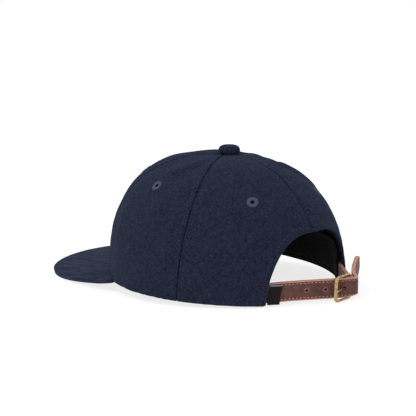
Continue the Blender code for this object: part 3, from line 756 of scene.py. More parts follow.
def leather_grain():
    """Shared group: pores and creases of leather, with a broad mottling."""
    name = "Leather grain"
    if name in bpy.data.node_groups:
        return bpy.data.node_groups[name]
    tree, given, result = group(name, {"Vector": "Vector"}, {"Height": "Float", "Mottling": "Float"})
    where = given.outputs["Vector"]
    warp = node(tree, "ShaderNodeTexNoise", {"Vector": where, "Scale": 300.0, "Detail": 2.0})
    shift = {0: warp.outputs[1], 1: (0.0015, 0.0015, 0.0015)}
    shifted = node(tree, "ShaderNodeVectorMath", shift, operation="MULTIPLY")
    moved = node(tree, "ShaderNodeVectorMath", {0: where, 1: shifted.outputs[0]}, operation="ADD")
    pores = {"Vector": moved.outputs[0], "Scale": 1100.0}
    cells = node(tree, "ShaderNodeTexVoronoi", pores, feature="DISTANCE_TO_EDGE")
    creases = ramp(tree, cells.outputs[0], 0.0, 0.22)
    fine = grain(tree, where, 1800.0, 3.0)
    tree.links.new(weighted(tree, creases, 0.6, fine, 0.4), result.inputs["Height"])
    tree.links.new(ramp(tree, grain(tree, where, 160.0, 4.0), 0.35, 0.65), result.inputs["Mottling"])
    return tree


class Finish:
    """A material with its Principled shader, its coordinates and a way to raise its surface."""

    def __init__(self, name):
        self.material = bpy.data.materials.new(name)
        self.material.use_nodes = True
        self.tree = self.material.node_tree
        self.shader = self.tree.nodes["Principled BSDF"]
        self.where = node(self.tree, "ShaderNodeTexCoord").outputs["Object"]

    def set(self, **values):
        """Sets numbers and colours on the shader's own sockets."""
        for name, value in values.items():
            self.shader.inputs[name.replace("_", " ")].default_value = value

    def use(self, tree, **inputs):
        """Adds a shared group."""
        made = self.tree.nodes.new("ShaderNodeGroup")
        made.node_tree = tree
        for name, value in inputs.items():
            if isinstance(value, bpy.types.NodeSocket):
                self.tree.links.new(value, made.inputs[name])
            else:
                made.inputs[name].default_value = value
        return made.outputs

    def colour(self, socket):
        """Links the surface's colour."""
        self.tree.links.new(socket, self.shader.inputs["Base Color"])

    def rough(self, socket):
        """Links the surface's roughness."""
        self.tree.links.new(socket, self.shader.inputs["Roughness"])

    def raise_by(self, height, distance, strength):
        """Raises the surface by a height, to a distance in metres."""
        inputs = {"Height": height, "Distance": distance, "Strength": strength}
        made = node(self.tree, "ShaderNodeBump", inputs)
        self.tree.links.new(made.outputs[0], self.shader.inputs["Normal"])

    def threads(self, count):
        """Height of a weave that follows the piece's own UV map."""
        where = node(self.tree, "ShaderNodeTexCoord").outputs["UV"]
        return self.use(woven(), Vector=where, Threads=count)["Height"]

    def painted(self, name):
        """A number stored on the piece's vertices."""
        return node(self.tree, "ShaderNodeAttribute", attribute_name=name).outputs["Fac"]


def made_once(name, build):
    """A material by name, built the first time that it is asked for."""
    return bpy.data.materials.get(name) or build(name)


def dye_wool(wool, raised, sheen):
    """Colours wool by how far its fibres stand up, and gives it a soft bluish sheen."""
    colours = sizes("cap_colours")
    wool.colour(mix_colour(wool.tree, raised, rgba(colours.wool_dark), rgba(colours.wool_light)))
    wool.set(Roughness=0.95, Specular_IOR_Level=0.0, Sheen_Weight=sheen, Sheen_Roughness=0.5)
    wool.set(Sheen_Tint=(0.50, 0.58, 0.85, 1.0))


def wool_finish(name):
    """Brushed wool, with short fibres that stand up in all directions."""
    wool = Finish(name)
    fibres = wool.use(brushed_wool(), Vector=wool.where)
    dye_wool(wool, fibres["Raised"], 0.065)
    wool.raise_by(fibres["Height"], 0.00045, 0.9)
    return wool.material


def peak_finish(name):
    """The same wool, laid over the board with its fibres drawn out from front to back."""
    wool = Finish(name)
    laid = stretched(wool.tree, wool.where, (1.0, 0.30, 1.0))
    fibres = wool.use(brushed_wool(), Vector=laid)
    streaks = grain(wool.tree, stretched(wool.tree, wool.where, (1.0, 0.12, 1.0)), 270.0, 3.0)
    streaks = ramp(wool.tree, streaks, 0.38, 0.62)
    dye_wool(wool, weighted(wool.tree, fibres["Raised"], 0.55, streaks, 0.50), 0.085)
    wool.raise_by(maths(wool.tree, "ADD", fibres["Height"], streaks), 0.00040, 0.8)
    return wool.material


def thread_finish(name, colour):
    """Spun thread: fine slanting strands."""
    thread = Finish(name)
    strands = grain(thread.tree, stretched(thread.tree, thread.where, (1.0, 1.0, 0.4)), 2600.0, 2.0)
    lit = ramp(thread.tree, strands, 0.38, 0.6)
    thread.colour(mix_colour(thread.tree, lit, rgba(colour, 0.62), rgba(colour)))
    thread.set(Roughness=0.7, Specular_IOR_Level=0.25)
    thread.raise_by(strands, 0.0002, 0.7)
    return thread.material


def seam_thread_finish(name):
    """Navy thread of the wool's seams and hems."""
    return thread_finish(name, sizes("cap_colours").thread)


def eyelet_finish(name):
    """Embroidered thread that runs round from the hole outwards, with painted shade deep between its strands.
    """
    colours = sizes("cap_colours")
    thread = Finish(name)
    fuzz = ramp(thread.tree, grain(thread.tree, thread.where, 1900.0, 3.0), 0.3, 0.7)
    lit = maths(thread.tree, "ADD", maths(thread.tree, "MULTIPLY", fuzz, 0.5), 0.6)
    # Painted shade: the colour darkens between the strands, where the ridge number is low
    lit = maths(thread.tree, "MULTIPLY", thread.painted("ridge"), lit)
    thread.colour(mix_colour(thread.tree, lit, rgba(colours.eyelet, 0.45), rgba(colours.eyelet)))
    thread.set(Roughness=0.75, Specular_IOR_Level=0.2)
    thread.raise_by(fuzz, 0.0002, 0.6)
    return thread.material


def strap_thread_finish(name):
    """Pale thread of the leather straps."""
    return thread_finish(name, sizes("cap_colours").strap_thread)


def black_finish(name, threads, height, shade=1.0):
    """Plain black cloth, whose raised threads are a little lighter. Bindings and seam tapes are painted
    lighter still, and the sweatband's top edge also carries a painted highlight.
    """
    colours = sizes("cap_colours")
    cloth = Finish(name)
    weave = cloth.threads(threads)
    worn = ramp(cloth.tree, grain(cloth.tree, cloth.where, 240.0, 3.0), 0.35, 0.65)
    worn = maths(cloth.tree, "ADD", maths(cloth.tree, "MULTIPLY", worn, 0.4), 0.6)
    lit = maths(cloth.tree, "MULTIPLY", weave, worn)
    plain = mix_colour(cloth.tree, lit, rgba(colours.black, shade), rgba(colours.black_light, shade))
    # The stored number makes the colour paler: bindings, seam tapes, and a painted highlight on the
    # sweatband's top edge
    cloth.colour(mix_colour(cloth.tree, cloth.painted("paler"), plain, rgba(colours.black_light, 2.2)))
    cloth.set(Roughness=0.9, Specular_IOR_Level=0.07)
    cloth.raise_by(weave, height, 0.7)
    return cloth.material


def lining_finish(name):
    """Fine black cloth of the lining and the seam tapes."""
    return black_finish(name, 900.0, 0.00015, 0.72)


def sweatband_finish(name):
    """Black cloth of the sweatband, a little lighter than the lining."""
    return black_finish(name, 1100.0, 0.0002)


def leather_finish(name):
    """Brown leather, darker where it is pressed, with pale cut edges whose own paleness carries a painted
    highlight as well.
    """
    colours = sizes("cap_colours")
    leather = Finish(name)
    skin = leather.use(leather_grain(), Vector=leather.where)
    face = mix_colour(leather.tree, skin["Mottling"], rgba(colours.leather_dark), rgba(colours.leather))
    fibre = ramp(leather.tree, grain(leather.tree, leather.where, 1300.0, 3.0), 0.35, 0.65)
    # The edge colour is the cut leather's own paleness plus a painted highlight
    edge = mix_colour(leather.tree, fibre, rgba(colours.leather_edge_and_highlight, 0.72), rgba(colours.leather_edge_and_highlight))
    leather.colour(mix_colour(leather.tree, leather.painted("edge"), face, edge))
    leather.rough(ramp(leather.tree, skin["Height"], -1.2, 2.6))
    leather.set(Specular_IOR_Level=0.05)
    leather.raise_by(skin["Height"], 0.00022, 0.8)
    return leather.material


def brass_finish(name):
    """Antique brass: polished where it is handled, dull and darker elsewhere."""
    colours = sizes("cap_colours")
    brass = Finish(name)
    worn = ramp(brass.tree, grain(brass.tree, brass.where, 420.0, 4.0), 0.46, 0.72)
    brass.colour(mix_colour(brass.tree, worn, rgba(colours.brass), rgba(colours.patina)))
    dull = node(brass.tree, "ShaderNodeMapRange", {"Value": worn, "To Min": 0.24, "To Max": 0.46})
    brass.rough(dull.outputs["Result"])
    brass.set(Metallic=1.0)
    brass.raise_by(grain(brass.tree, brass.where, 1500.0, 3.0), 0.00008, 0.5)
    return brass.material


def label_finish(name):
    """Black damask weave with a pale, worn fold."""
    colours = sizes("cap_colours")
    label = Finish(name)
    weave = label.threads(300.0)
    face = mix_colour(label.tree, weave, rgba(colours.label, 0.5), rgba(colours.label))
    fold = mix_colour(label.tree, weave, rgba(colours.label_fold, 0.6), rgba(colours.label_fold))
    label.colour(mix_colour(label.tree, label.painted("fold"), face, fold))
    label.set(Roughness=0.85, Specular_IOR_Level=0.2)
    label.raise_by(weave, 0.00012, 0.8)
    return label.material


# Crown


class CAP_OT_panels(bpy.types.Operator):
    """Sew the six wool panels, each with its seams, hems, folds and eyelet hole"""

    bl_idname = "cap.panels"
    bl_label = "Panels"
    columns = 72
    rows = 104
    hole_inside = 0.006
    hole_outside = 0.004
    rim_part = 0.020
    rim_blend = 0.008
    rim_hem = 0.3
    hem_flat = 0.0012
    hem_fade = 0.0025

    def execute(self, context):
        crown = Crown()
        for side in SIDES:
            for place in PANEL_SEAMS:
                self.sew(crown, side, place)
        return {"FINISHED"}

    def sew(self, crown, side, place):
        """One panel, from seam to seam and from the rim to the button."""
        wool = crown.sizes

        def shape(across, up):
            across = crowd(across)
            if place == "back" and abs(across - RIM_SHARE) < 0.5 / self.columns:
                across = RIM_SHARE
            angle, rise = crown.place_on(side, place, across, crowd(up, 0.8))
            return crown.cloth(side, angle, rise)

        panel = wrapped(f"wool_panel_{place}_{side}", self.columns, self.rows, shape)
        hem = panel.vertex_groups.new(name="hem")
        tree = crown.edges[side]
        for vertex in panel.data.vertices:
            from_edge = tree.find(Vector((abs(vertex.co.x), vertex.co.y, vertex.co.z)))[2]
            hem.add([vertex.index], self.hem_share(vertex.co.z, from_edge), "REPLACE")
        in_edit_mode(panel, lambda: bpy.ops.mesh.normals_make_consistent(inside=False))
        face_outwards(panel)
        thicken(panel, wool.hem, vertex_group="hem", thickness_vertex_group=wool.cloth / wool.hem)
        degrees, rise = EYELET_PLACES[place]
        here = crown.cloth_frame(side, radians(degrees), rise, UP)
        centre, out = here.to_translation(), here.col[2].to_3d()
        hole = sizes("cap_parts").eyelet_hole * 1.5
        drill(panel, centre - out * self.hole_inside, centre + out * self.hole_outside, hole)
        hand_over(panel, made_once("Navy wool", wool_finish), "navy_wool", f"panel_{place}_{side}")

    def hem_share(self, height, from_edge):
        """How full the turned-in edge is: full along the opening above the straps, and less along the rim."""
        above = smooth((height - self.rim_part) / self.rim_blend)
        full = blend(self.rim_hem, 1.0, above)
        return full * (1 - smooth((from_edge - self.hem_flat) / self.hem_fade))


class CAP_OT_seam_stitches(bpy.types.Operator):
    """Stitch the seams and the opening's hem with thread"""

    bl_idname = "cap.seam_stitches"
    bl_label = "Seam stitches"
    steps = 240
    lowest = 0.05
    below_top = 0.04
    least_radius = 0.004

    def execute(self, context):
        crown = Crown()
        wool = crown.sizes
        places = []
        for side in SIDES:
            for seam in SEAMS:
                for row in self.rows_along(seam):
                    places += self.along_seam(crown, side, seam, row)
            places += self.along_opening(crown, side)
        pattern = stitch_shape("Stitch", wool.stitch, wool.stitch_thread)
        threads = stamped("seam_stitches", pattern, places)
        hand_over(threads, made_once("Seam thread", seam_thread_finish), "eyelet_thread")
        return {"FINISHED"}

    def rows_along(self, seam):
        """Sides of a seam with a row on this half. The other half has a middle seam's other row."""
        return {"front": (1,), "back": (-1,)}.get(seam, (-1, 1))

    def along_seam(self, crown, side, seam, row):
        """Places of the stitches beside one seam."""
        wool = crown.sizes
        lowest = self.lowest
        if seam == "back":
            lowest = crown.rise_at(pi / 2, wool.arch_height + wool.hem_row)
        highest = crown.top_rise(crown.seam(seam, 1.0)) - self.below_top
        route = []
        for i in range(self.steps + 1):
            rise = blend(lowest, highest, i / self.steps)
            angle = crown.seam(seam, rise)
            radius = max(crown.radius(crown.surface(angle, rise)), self.least_radius)
            route.append((angle + row * wool.stitch_row / radius, rise))
        return self.lay(crown, side, route)

    def along_opening(self, crown, side):
        """Places of the stitches outside the opening's edge."""
        shares = [blend(0.10, 1.0, i / self.steps) for i in range(self.steps + 1)]
        route = [crown.opening(side, share, crown.sizes.hem_row) for share in shares]
        return self.lay(crown, side, route)

    def lay(self, crown, side, route):
        """Matrices of stitches along a route on the wool."""
        points = [crown.cloth(side, angle, rise) for angle, rise in route]
        places = []
        for share, along in evenly(points, crown.sizes.stitch_pitch):
            at = share * (len(route) - 1)
            i = min(int(at), len(route) - 2)
            angle = blend(route[i][0], route[i + 1][0], at - i)
            rise = blend(route[i][1], route[i + 1][1], at - i)
            places.append(crown.cloth_frame(side, angle, rise, along))
        return places


class CAP_OT_eyelets(bpy.types.Operator):
    """Stitch the six eyelets with thread that runs round each hole"""

    bl_idname = "cap.eyelets"
    bl_label = "Eyelets"
    strands = 34
    raggedness = 0.035
    underside = 0.0009
    sunk = 0.0002

    def execute(self, context):
        crown = Crown()
        parts = sizes("cap_parts")
        middle = (parts.eyelet + parts.eyelet_hole) / 4
        half = (parts.eyelet - parts.eyelet_hole) / 4
        finish = made_once("Eyelet thread", eyelet_finish)
        for side in SIDES:
            for place, (degrees, rise) in EYELET_PLACES.items():
                deselect()
                bpy.ops.mesh.primitive_torus_add(
                    major_segments=self.strands * 6,
                    minor_segments=14,
                    major_radius=middle,
                    minor_radius=half,
                )
                ring = bpy.context.object
                ring.name = f"thread_eyelet_{place}_{side}"
                self.wind(ring, middle, half, parts.eyelet_height)
                ring.data.transform(crown.cloth_frame(side, radians(degrees), rise, UP))
                hand_over(ring, finish, "eyelet_thread", f"eyelet_{place}_{side}", smooth_angle=80.0)
        return {"FINISHED"}

    def wind(self, ring, middle, half, height):
        """Flattens the ring and raises a strand at each stitch. Each strand wanders a little."""
        # The ridge number also darkens the colour between the strands, as painted shade
        ridge = ring.data.attributes.new("ridge", "FLOAT", "POINT")
        for vertex in ring.data.vertices:
            radius = hypot(vertex.co.x, vertex.co.y)
            around = atan2(vertex.co.y, vertex.co.x)
            across = (radius - middle) / half
            wander = 0.9 * noise.noise(Vector((cos(around) * 2, sin(around) * 2, across)))
            wave = 0.5 + 0.5 * cos(self.strands * around + wander)
            ridge.data[vertex.index].value = wave
            ragged = 1 + self.raggedness * noise.noise(Vector((cos(around) * 9, sin(around) * 9, 4.0)))
            scale = (middle + across * half * (0.94 + 0.06 * wave)) / radius * ragged
            level = vertex.co.z / half * height * (0.78 + 0.22 * wave)
            level = max(level, -self.underside) - self.sunk
            vertex.co = Vector((vertex.co.x * scale, vertex.co.y * scale, level))


class CAP_OT_button(bpy.types.Operator):
    """Cover the button on the crown with wool"""

    bl_idname = "cap.button"
    bl_label = "Button"
    gathers = 14
    gather_depth = 0.010

    def execute(self, context):
        crown = Crown()
        parts = sizes("cap_parts")
        deselect()
        bpy.ops.mesh.primitive_uv_sphere_add(segments=96, ring_count=48, radius=1.0)
        button = bpy.context.object
        button.name = "wool_button"
        top = crown.surface(0.0, 1.0) + Vector((0.0, parts.button_shift, 0.0))
        for vertex in button.data.vertices:
            vertex.co = top + self.dome(vertex.co, parts)
        hand_over(button, made_once("Navy wool", wool_finish), "navy_wool", "top_button", smooth_angle=80.0)
        return {"FINISHED"}

    def dome(self, point, parts):
        """A low dome that rolls under, gathered at its lower edge."""
        flat = hypot(point.x, point.y)
        around = atan2(point.y, point.x)
        reach = flat**0.55 if flat > 0 else 0.0
        gather = self.gather_depth * cos(self.gathers * around) * smooth((0.35 - point.z) / 0.5)
        radius = parts.button / 2 * (reach * (1 + gather))
        if point.z > 0:
            level = parts.button_height * (0.34 + 0.66 * point.z**0.9)
        else:
            level = parts.button_height * (0.34 + 0.38 * point.z)
        return Vector((cos(around) * radius, sin(around) * radius, level))


# Inside of the crown


class CAP_OT_lining(bpy.types.Operator):
    """Line the crown with a bowl of black cloth, and tape the seams on its inside"""

    bl_idname = "cap.lining"
    bl_label = "Lining"
    foot_height = 0.020
    inset = 0.003
    cloth = 0.0006
    tape_cloth = 0.0005
    tape_gap = 0.0008
    tape_arch = 0.0004
    tape_foot = 0.004
    tape_above = 0.002
    tape_end = 0.03

    def execute(self, context):
        crown = Crown()
        depth = crown.sizes.lining_depth
        feet = self.feet(crown)

        def shape(around, up):
            side, angle, rise = self.at(feet, around)
            return crown.inside(side, angle, blend(rise, crown.top_rise(angle), up), depth)

        bowl = wrapped("lining_bowl", 180, 48, shape, closed=True)
        thicken(bowl, self.cloth, offset=0.0)
        paint(bowl, "paler", lambda place: 0.0)
        finish = made_once("Black lining", lining_finish)
        hand_over(bowl, finish, "black_lining", "lining")
        self.tape(crown, depth + self.tape_gap, finish)
        return {"FINISHED"}

    def feet(self, crown):
        """Places along the lining's lower edge, from the opening's top round the left half and back."""
        halves = {}
        for side in SIDES:
            corner = crown.opening_angle(side, self.foot_height) - crown.turned(self.inset)
            foot = crown.rise_at(corner, self.foot_height)
            arch = [crown.opening(side, 1 - i / 60, self.inset) for i in range(61)]
            half = [(side, angle, rise) for angle, rise in arch if rise > foot * 1.04]
            for i in range(91):
                angle = blend(corner, -pi / 2, i / 90)
                half.append((side, angle, crown.rise_at(angle, self.foot_height)))
            halves[side] = half
        return halves["left"] + halves["right"][::-1]

    def at(self, feet, around):
        """The place for a share of the way round."""
        at = around * (len(feet) - 1)
        i = min(int(at), len(feet) - 2)
        here, after = feet[i], feet[i + 1]
        return here[0], blend(here[1], after[1], at - i), blend(here[2], after[2], at - i)

    def tape(self, crown, depth, finish):
        """Strips over the seams, seen from below."""
        width = sizes("cap_parts").tape
        strips = [(side, seam) for side in SIDES for seam in ("fore", "aft")]
        strips += [("left", "front"), ("left", "back")]
        for side, seam in strips:
            lowest = crown.rise_at(crown.seam(seam, 0.0), self.foot_height + self.tape_foot)
            if seam == "back":
                lowest = crown.rise_at(pi / 2, crown.sizes.arch_height + self.inset + self.tape_above)
            highest = crown.top_rise(crown.seam(seam, 1.0)) - self.tape_end

            def shape(across, up):
                rise = blend(lowest, highest, up)
                angle = crown.seam(seam, rise)
                here = crown.surface(angle, rise)
                arched = self.tape_arch * (1 - (2 * across - 1) ** 2)
                angle += (across - 0.5) * width / max(hypot(here.x, here.y), width / 2)
                return crown.inside(side, angle, rise, depth + arched)

            strip = wrapped(f"seam_tape_{seam}_{side}", 8, 60, shape)
            thicken(strip, self.tape_cloth, offset=0.0)
            paint(strip, "paler", lambda place: 0.35)
            hand_over(strip, finish, "black_lining")


class CAP_OT_sweatband(bpy.types.Operator):
    """Sew the sweatband round the rim's inside, with bound ends"""

    bl_idname = "cap.sweatband"
    bl_label = "Sweatband"
    blend_angle = 14.0
    margin = 3.0
    droop = 0.0022
    behind_lining = 0.0010
    behind_strap = 0.0008
    edge = 0.0004
    end_binding = 0.0042
    # Width of the top edge's binding, which is painted lighter as a highlight from the light above
    top_binding_highlight = 0.0012
    stitch = 0.0021
    stitch_pitch = 0.0034
    stitch_thread = 0.0003
    thread_rise = 0.0001
    top_highlight_fade = 0.0008
    steps = 300

    def execute(self, context):
        crown = Crown()
        parts = sizes("cap_parts")

        def shape(around, up):
            side = "left" if around < 0.5 else "right"
            share = crowd(around, 0.9) * 2 if side == "left" else (1 - crowd(around, 0.9)) * 2
            angle = blend(self.end_angle(crown, parts, side, up), -pi / 2, share)
            point = self.point(crown, parts, side, angle, up)
            if side == "right":
                point.z -= self.droop * (1 - up) * smooth((angle + 0.7) / 0.7) * smooth(share * 12)
            return point

        band = wrapped("bound_sweatband", 220, 24, shape)
        face_outwards(band)
        heights = [(side, i / 40) for side in SIDES for i in range(41)]
        ends = [
            self.point(crown, parts, side, self.end_angle(crown, parts, side, up), up) for side, up in heights
        ]
        ends = search_tree(ends)
        top = search_tree([shape(i / 600, 1.0) for i in range(601)])
        thicken(band, parts.sweatband)

        # Lighter at the bound ends, and along the top edge, where the binding is painted lighter with a
        # highlight from the light above
        def paler(place):
            if ends.find(place)[2] < self.end_binding:
                return 0.8
            return 0.7 * (1 - smooth((top.find(place)[2] - self.top_binding_highlight) / self.top_highlight_fade))

        paint(band, "paler", paler)
        round_edges(band, self.edge, 2)
        hand_over(band, made_once("Black sweatband", sweatband_finish), "black_sweatband", "sweatband")
        self.sew(crown, parts)
        return {"FINISHED"}

    def height(self, parts, up):
        """Height above the rim, for a share of 0 at the band's foot to 1 at its top."""
        return parts.sweatband_foot + parts.sweatband_height * up

    def end_angle(self, crown, parts, side, up):
        """Where the band ends beside the opening."""
        return crown.opening_angle(side, self.height(parts, up)) - crown.turned(parts.sweatband_inset)

    def point(self, crown, parts, side, angle, up, further=0.0):
        """A point on the band's outer face, or further inside the crown."""
        rise = crown.rise_at(angle, self.height(parts, up))
        return crown.inside(side, angle, rise, self.depth(crown, side, angle, up) + further)

    def depth(self, crown, side, angle, up):
        """The band stands further in where it covers the straps' sewn ends."""
        straps = sizes("cap_straps")
        plain = crown.sizes.lining_depth + self.behind_lining
        strap = straps.thickness if side == "left" else 2 * straps.layer + straps.gap
        over_strap = crown.sizes.strap_depth + strap + self.behind_strap
        away = abs(angle - crown.opening_angle(side, 0.0)) - straps.root_angle - radians(self.margin)
        near = 1 - smooth(away / radians(self.blend_angle))
        return blend(plain, over_strap, near * (1 - smooth((up - 0.60) / 0.30)))

    def sew(self, crown, parts):
        """Rows of thread along the band's edges, seen through the opening and from below."""
        places = []
        for side in SIDES:
            for up in (0.09, 0.91):
                first = self.end_angle(crown, parts, side, up) - 0.02
                route = [blend(first, -pi / 2, i / self.steps) for i in range(self.steps + 1)]
                proud = parts.sweatband + self.thread_rise
                points = [self.point(crown, parts, side, angle, up, proud) for angle in route]
                for share, along in evenly(points, self.stitch_pitch):
                    i = min(int(share * self.steps), self.steps - 1)
                    centre = points[i].lerp(points[i + 1], share * self.steps - i)
                    rise = crown.rise_at(route[i], self.height(parts, up))
                    inward = -on_side(side, crown.normal(route[i], rise))
                    places.append(standing(centre, along, inward))
        pattern = stitch_shape("Stitch", self.stitch, self.stitch_thread)
        threads = stamped("sweatband_stitches", pattern, places)
        hand_over(threads, made_once("Seam thread", seam_thread_finish), "black_sweatband")


class CAP_OT_peak(bpy.types.Operator):
    """Shape the curved peak, with its board inside"""

    bl_idname = "cap.peak"
    bl_label = "Peak"
    crown_gap = 0.0003
    wave = 0.00022
    wave_size = 0.022

    def execute(self, context):
        crown = Crown()
        parts = sizes("cap_parts")
        span = pi / 2 - parts.peak_corner

        def shape(around, out):
            share = 2 * around - 1
            out = 1 - (1 - out) ** 1.35
            angle = -pi / 2 + span * abs(share)
            inner = crown.surface(angle, 0.0) + crown.normal(angle, 0.0) * self.crown_gap
            inner = on_side("right" if share < 0 else "left", inner)
            point = inner.lerp(self.outline(crown, parts, share), out)
            point.z = self.height(crown, parts, point)
            middle = smooth((1 - out) * 4) * smooth(out * 6)
            point.z += self.wave * noise.noise(point / self.wave_size) * middle
            return point

        peak = wrapped("wool_peak", 150, 56, shape)
        thicken(peak, parts.peak_thickness, offset=0.0)
        round_edges(peak, parts.peak_thickness * 0.42, 5, 50.0)
        hand_over(peak, made_once("Peak wool", peak_finish), "navy_wool", "peak", smooth_angle=60.0)
        return {"FINISHED"}

    def outline(self, crown, parts, share):
        """Plan point of the peak's edge, for a share from -1, the right corner, to 1, the left corner."""
        front = -crown.sizes.length / 2
        tip = front - parts.peak_reach
        widest = front + parts.peak_widest
        half = parts.peak_width / 2
        side = -1 if share < 0 else 1
        away = abs(share)
        if away <= parts.peak_shoulder:
            quarter = away / parts.peak_shoulder * pi / 2
            x = half * sin(quarter) ** (2 / parts.peak_fullness)
            y = widest - (widest - tip) * max(cos(quarter), 0.0) ** (2 / parts.peak_fullness)
            return Vector((side * x, y, 0.0))
        end = -parts.peak_corner
        corner = crown.surface(end, 0.0) + crown.normal(end, 0.0) * parts.peak_end
        back = (away - parts.peak_shoulder) / (1 - parts.peak_shoulder)
        x = half - (half - corner.x) * back**1.7
        return Vector((side * x, widest + (corner.y - widest) * back, 0.0))

    def height(self, crown, parts, point):
        """Height of the peak's middle layer: it slopes down to the tip and arches across."""
        tip = -crown.sizes.length / 2 - parts.peak_reach
        across = 2 * point.x / parts.peak_width
        return -parts.peak_drop + parts.peak_slope * (point.y - tip) - parts.peak_arch * across * across


# Straps and buckle


class Layout:
    """Where the strap's run, its fold and the buckle lie, from the opening's left corner."""

    run_steps = 60
    fold_steps = 24
    free_steps = 60

    def __init__(self):
        self.crown = Crown()
        self.sizes = sizes("cap_straps")
        straps = self.sizes
        self.root = self.sewn_end("left", straps.thickness)
        self.start = self.root[-1]
        self.along = plan(straps.heading)
        self.outward = plan(straps.heading - pi / 2)
        prong_loop = straps.wire / 2 + straps.gap + straps.prong
        self.fold_radius = prong_loop + straps.gap + straps.thickness / 2
        self.hinge = self.start + self.along * straps.run - self.outward * self.fold_radius
        self.frame_heading = straps.heading + pi + straps.buckle_turn
        self.bar = self.hinge + plan(self.frame_heading, straps.buckle_depth)

    def sewn_end(self, side, thickness):
        """Plan points of a strap's sewn end, from inside the crown to the opening's edge."""
        straps = self.sizes
        level = straps.corner_height + straps.width / 2
        edge = self.crown.opening_angle(side, level)
        depth = self.crown.sizes.strap_depth + thickness / 2
        points = []
        for i in range(7):
            angle = edge - straps.root_angle * (1 - i / 6)
            point = self.crown.inside(side, angle, self.crown.rise_at(angle, level), depth)
            points.append(Vector((point.x, point.y, 0.0)))
        return points

    def run_height(self, share):
        """Height of the strap's middle line along its run, which bows up most at a third of the way."""
        straps = self.sizes
        level = blend(straps.corner_height, straps.fold_height, share)
        return level + straps.bow * 27 / 4 * share * (1 - share) ** 2

    def stations(self):
        """The strap's route: its length so far, and its middle, face direction and width direction."""
        straps = self.sizes
        found = []
        for i, point in enumerate(self.root[:-1]):
            way = (self.root[i + 1] - point).normalized()
            found.append((point + UP * self.run_height(0.0), way.cross(UP), UP))
        for i in range(self.run_steps + 1):
            share = i / self.run_steps
            centre = self.start + self.along * straps.run * share + UP * self.run_height(share)
            found.append((centre, self.outward, UP))
        base = UP * straps.fold_height
        for i in range(1, self.fold_steps + 1):
            across = plan(straps.heading - pi / 2 + straps.fold * i / self.fold_steps)
            found.append((self.hinge + across * self.fold_radius + base, across, UP))
        heading = straps.heading + straps.fold
        point = self.hinge + plan(heading - pi / 2, self.fold_radius) + base
        for i in range(1, self.free_steps + 1):
            share = i / self.free_steps
            ease = smooth(share * 2)
            across = plan(heading + straps.free_turn * ease - pi / 2)
            point = point + plan(heading + straps.free_turn * ease, straps.free_end / self.free_steps)
            rise = tan(straps.free_rise) * straps.free_end * share * min(share * 3, 1.0)
            lean = straps.free_lean * ease
            up = UP * cos(lean) - across * sin(lean)
            found.append((point + UP * rise, across * cos(lean) + UP * sin(lean), up))
        return lengths_along([station[0] for station in found]), found

    def prong_line(self):
        """Start and end of the prong's straight part, from its loop to past the front bar."""
        straps = self.sizes
        height = UP * straps.fold_height
        side = plan(self.frame_heading + pi / 2, straps.wire / 2 + straps.gap + straps.prong / 2)
        start = self.hinge - side + height
        end = self.bar + side + height
        return start, end + (end - start).normalized() * straps.overhang


def station_at(at, lengths, route):
    """Middle, face direction and width direction of a route, at a length along it."""
    at = min(max(at, 0.0), lengths[-1] - 1e-9)
    i = min(bisect_right(lengths, at), len(lengths) - 1)
    share = (at - lengths[i - 1]) / (lengths[i] - lengths[i - 1])
    return [before.lerp(after, share) for before, after in zip(route[i - 1], route[i])]


def bent(piece, lengths, route):
    """Bends a straight strap along a route: its length lies along X, its width along Y, its face along Z."""
    for vertex in piece.data.vertices:
        centre, out, up = station_at(vertex.co.x, lengths, route)
        vertex.co = centre + out.normalized() * vertex.co.z + up.normalized() * vertex.co.y


def bent_place(place, lengths, route):
    """A matrix on the straight strap, carried to its place on the bent one."""
    origin, ahead, up_point = (place @ Vector(p) for p in ((0, 0, 0), (1e-4, 0, 0), (0, 0, 1e-4)))
    carried = []
    for point in (origin, ahead, up_point):
        centre, out, up = station_at(point.x, lengths, route)
        carried.append(centre + out * point.z + up * point.y)
    x_axis = (carried[1] - carried[0]).normalized()
    z_axis = (carried[2] - carried[0]).normalized()
    z_axis = (z_axis - x_axis * z_axis.dot(x_axis)).normalized()
    axes = Matrix((x_axis, z_axis.cross(x_axis), z_axis)).transposed().to_4x4()
    return Matrix.Translation(carried[0]) @ axes


def slab(name, length, half_width, thickness, step):
    """A flat strap along X. Its half width is given for each place along it."""

    def shape(along, across):
        at = length * along
        return Vector((at, half_width(at) * (2 * crowd(across, 0.55) - 1), 0.0))

    piece = wrapped(name, round(length / step), 30, shape)
    thicken(piece, thickness, offset=0.0)
    return piece


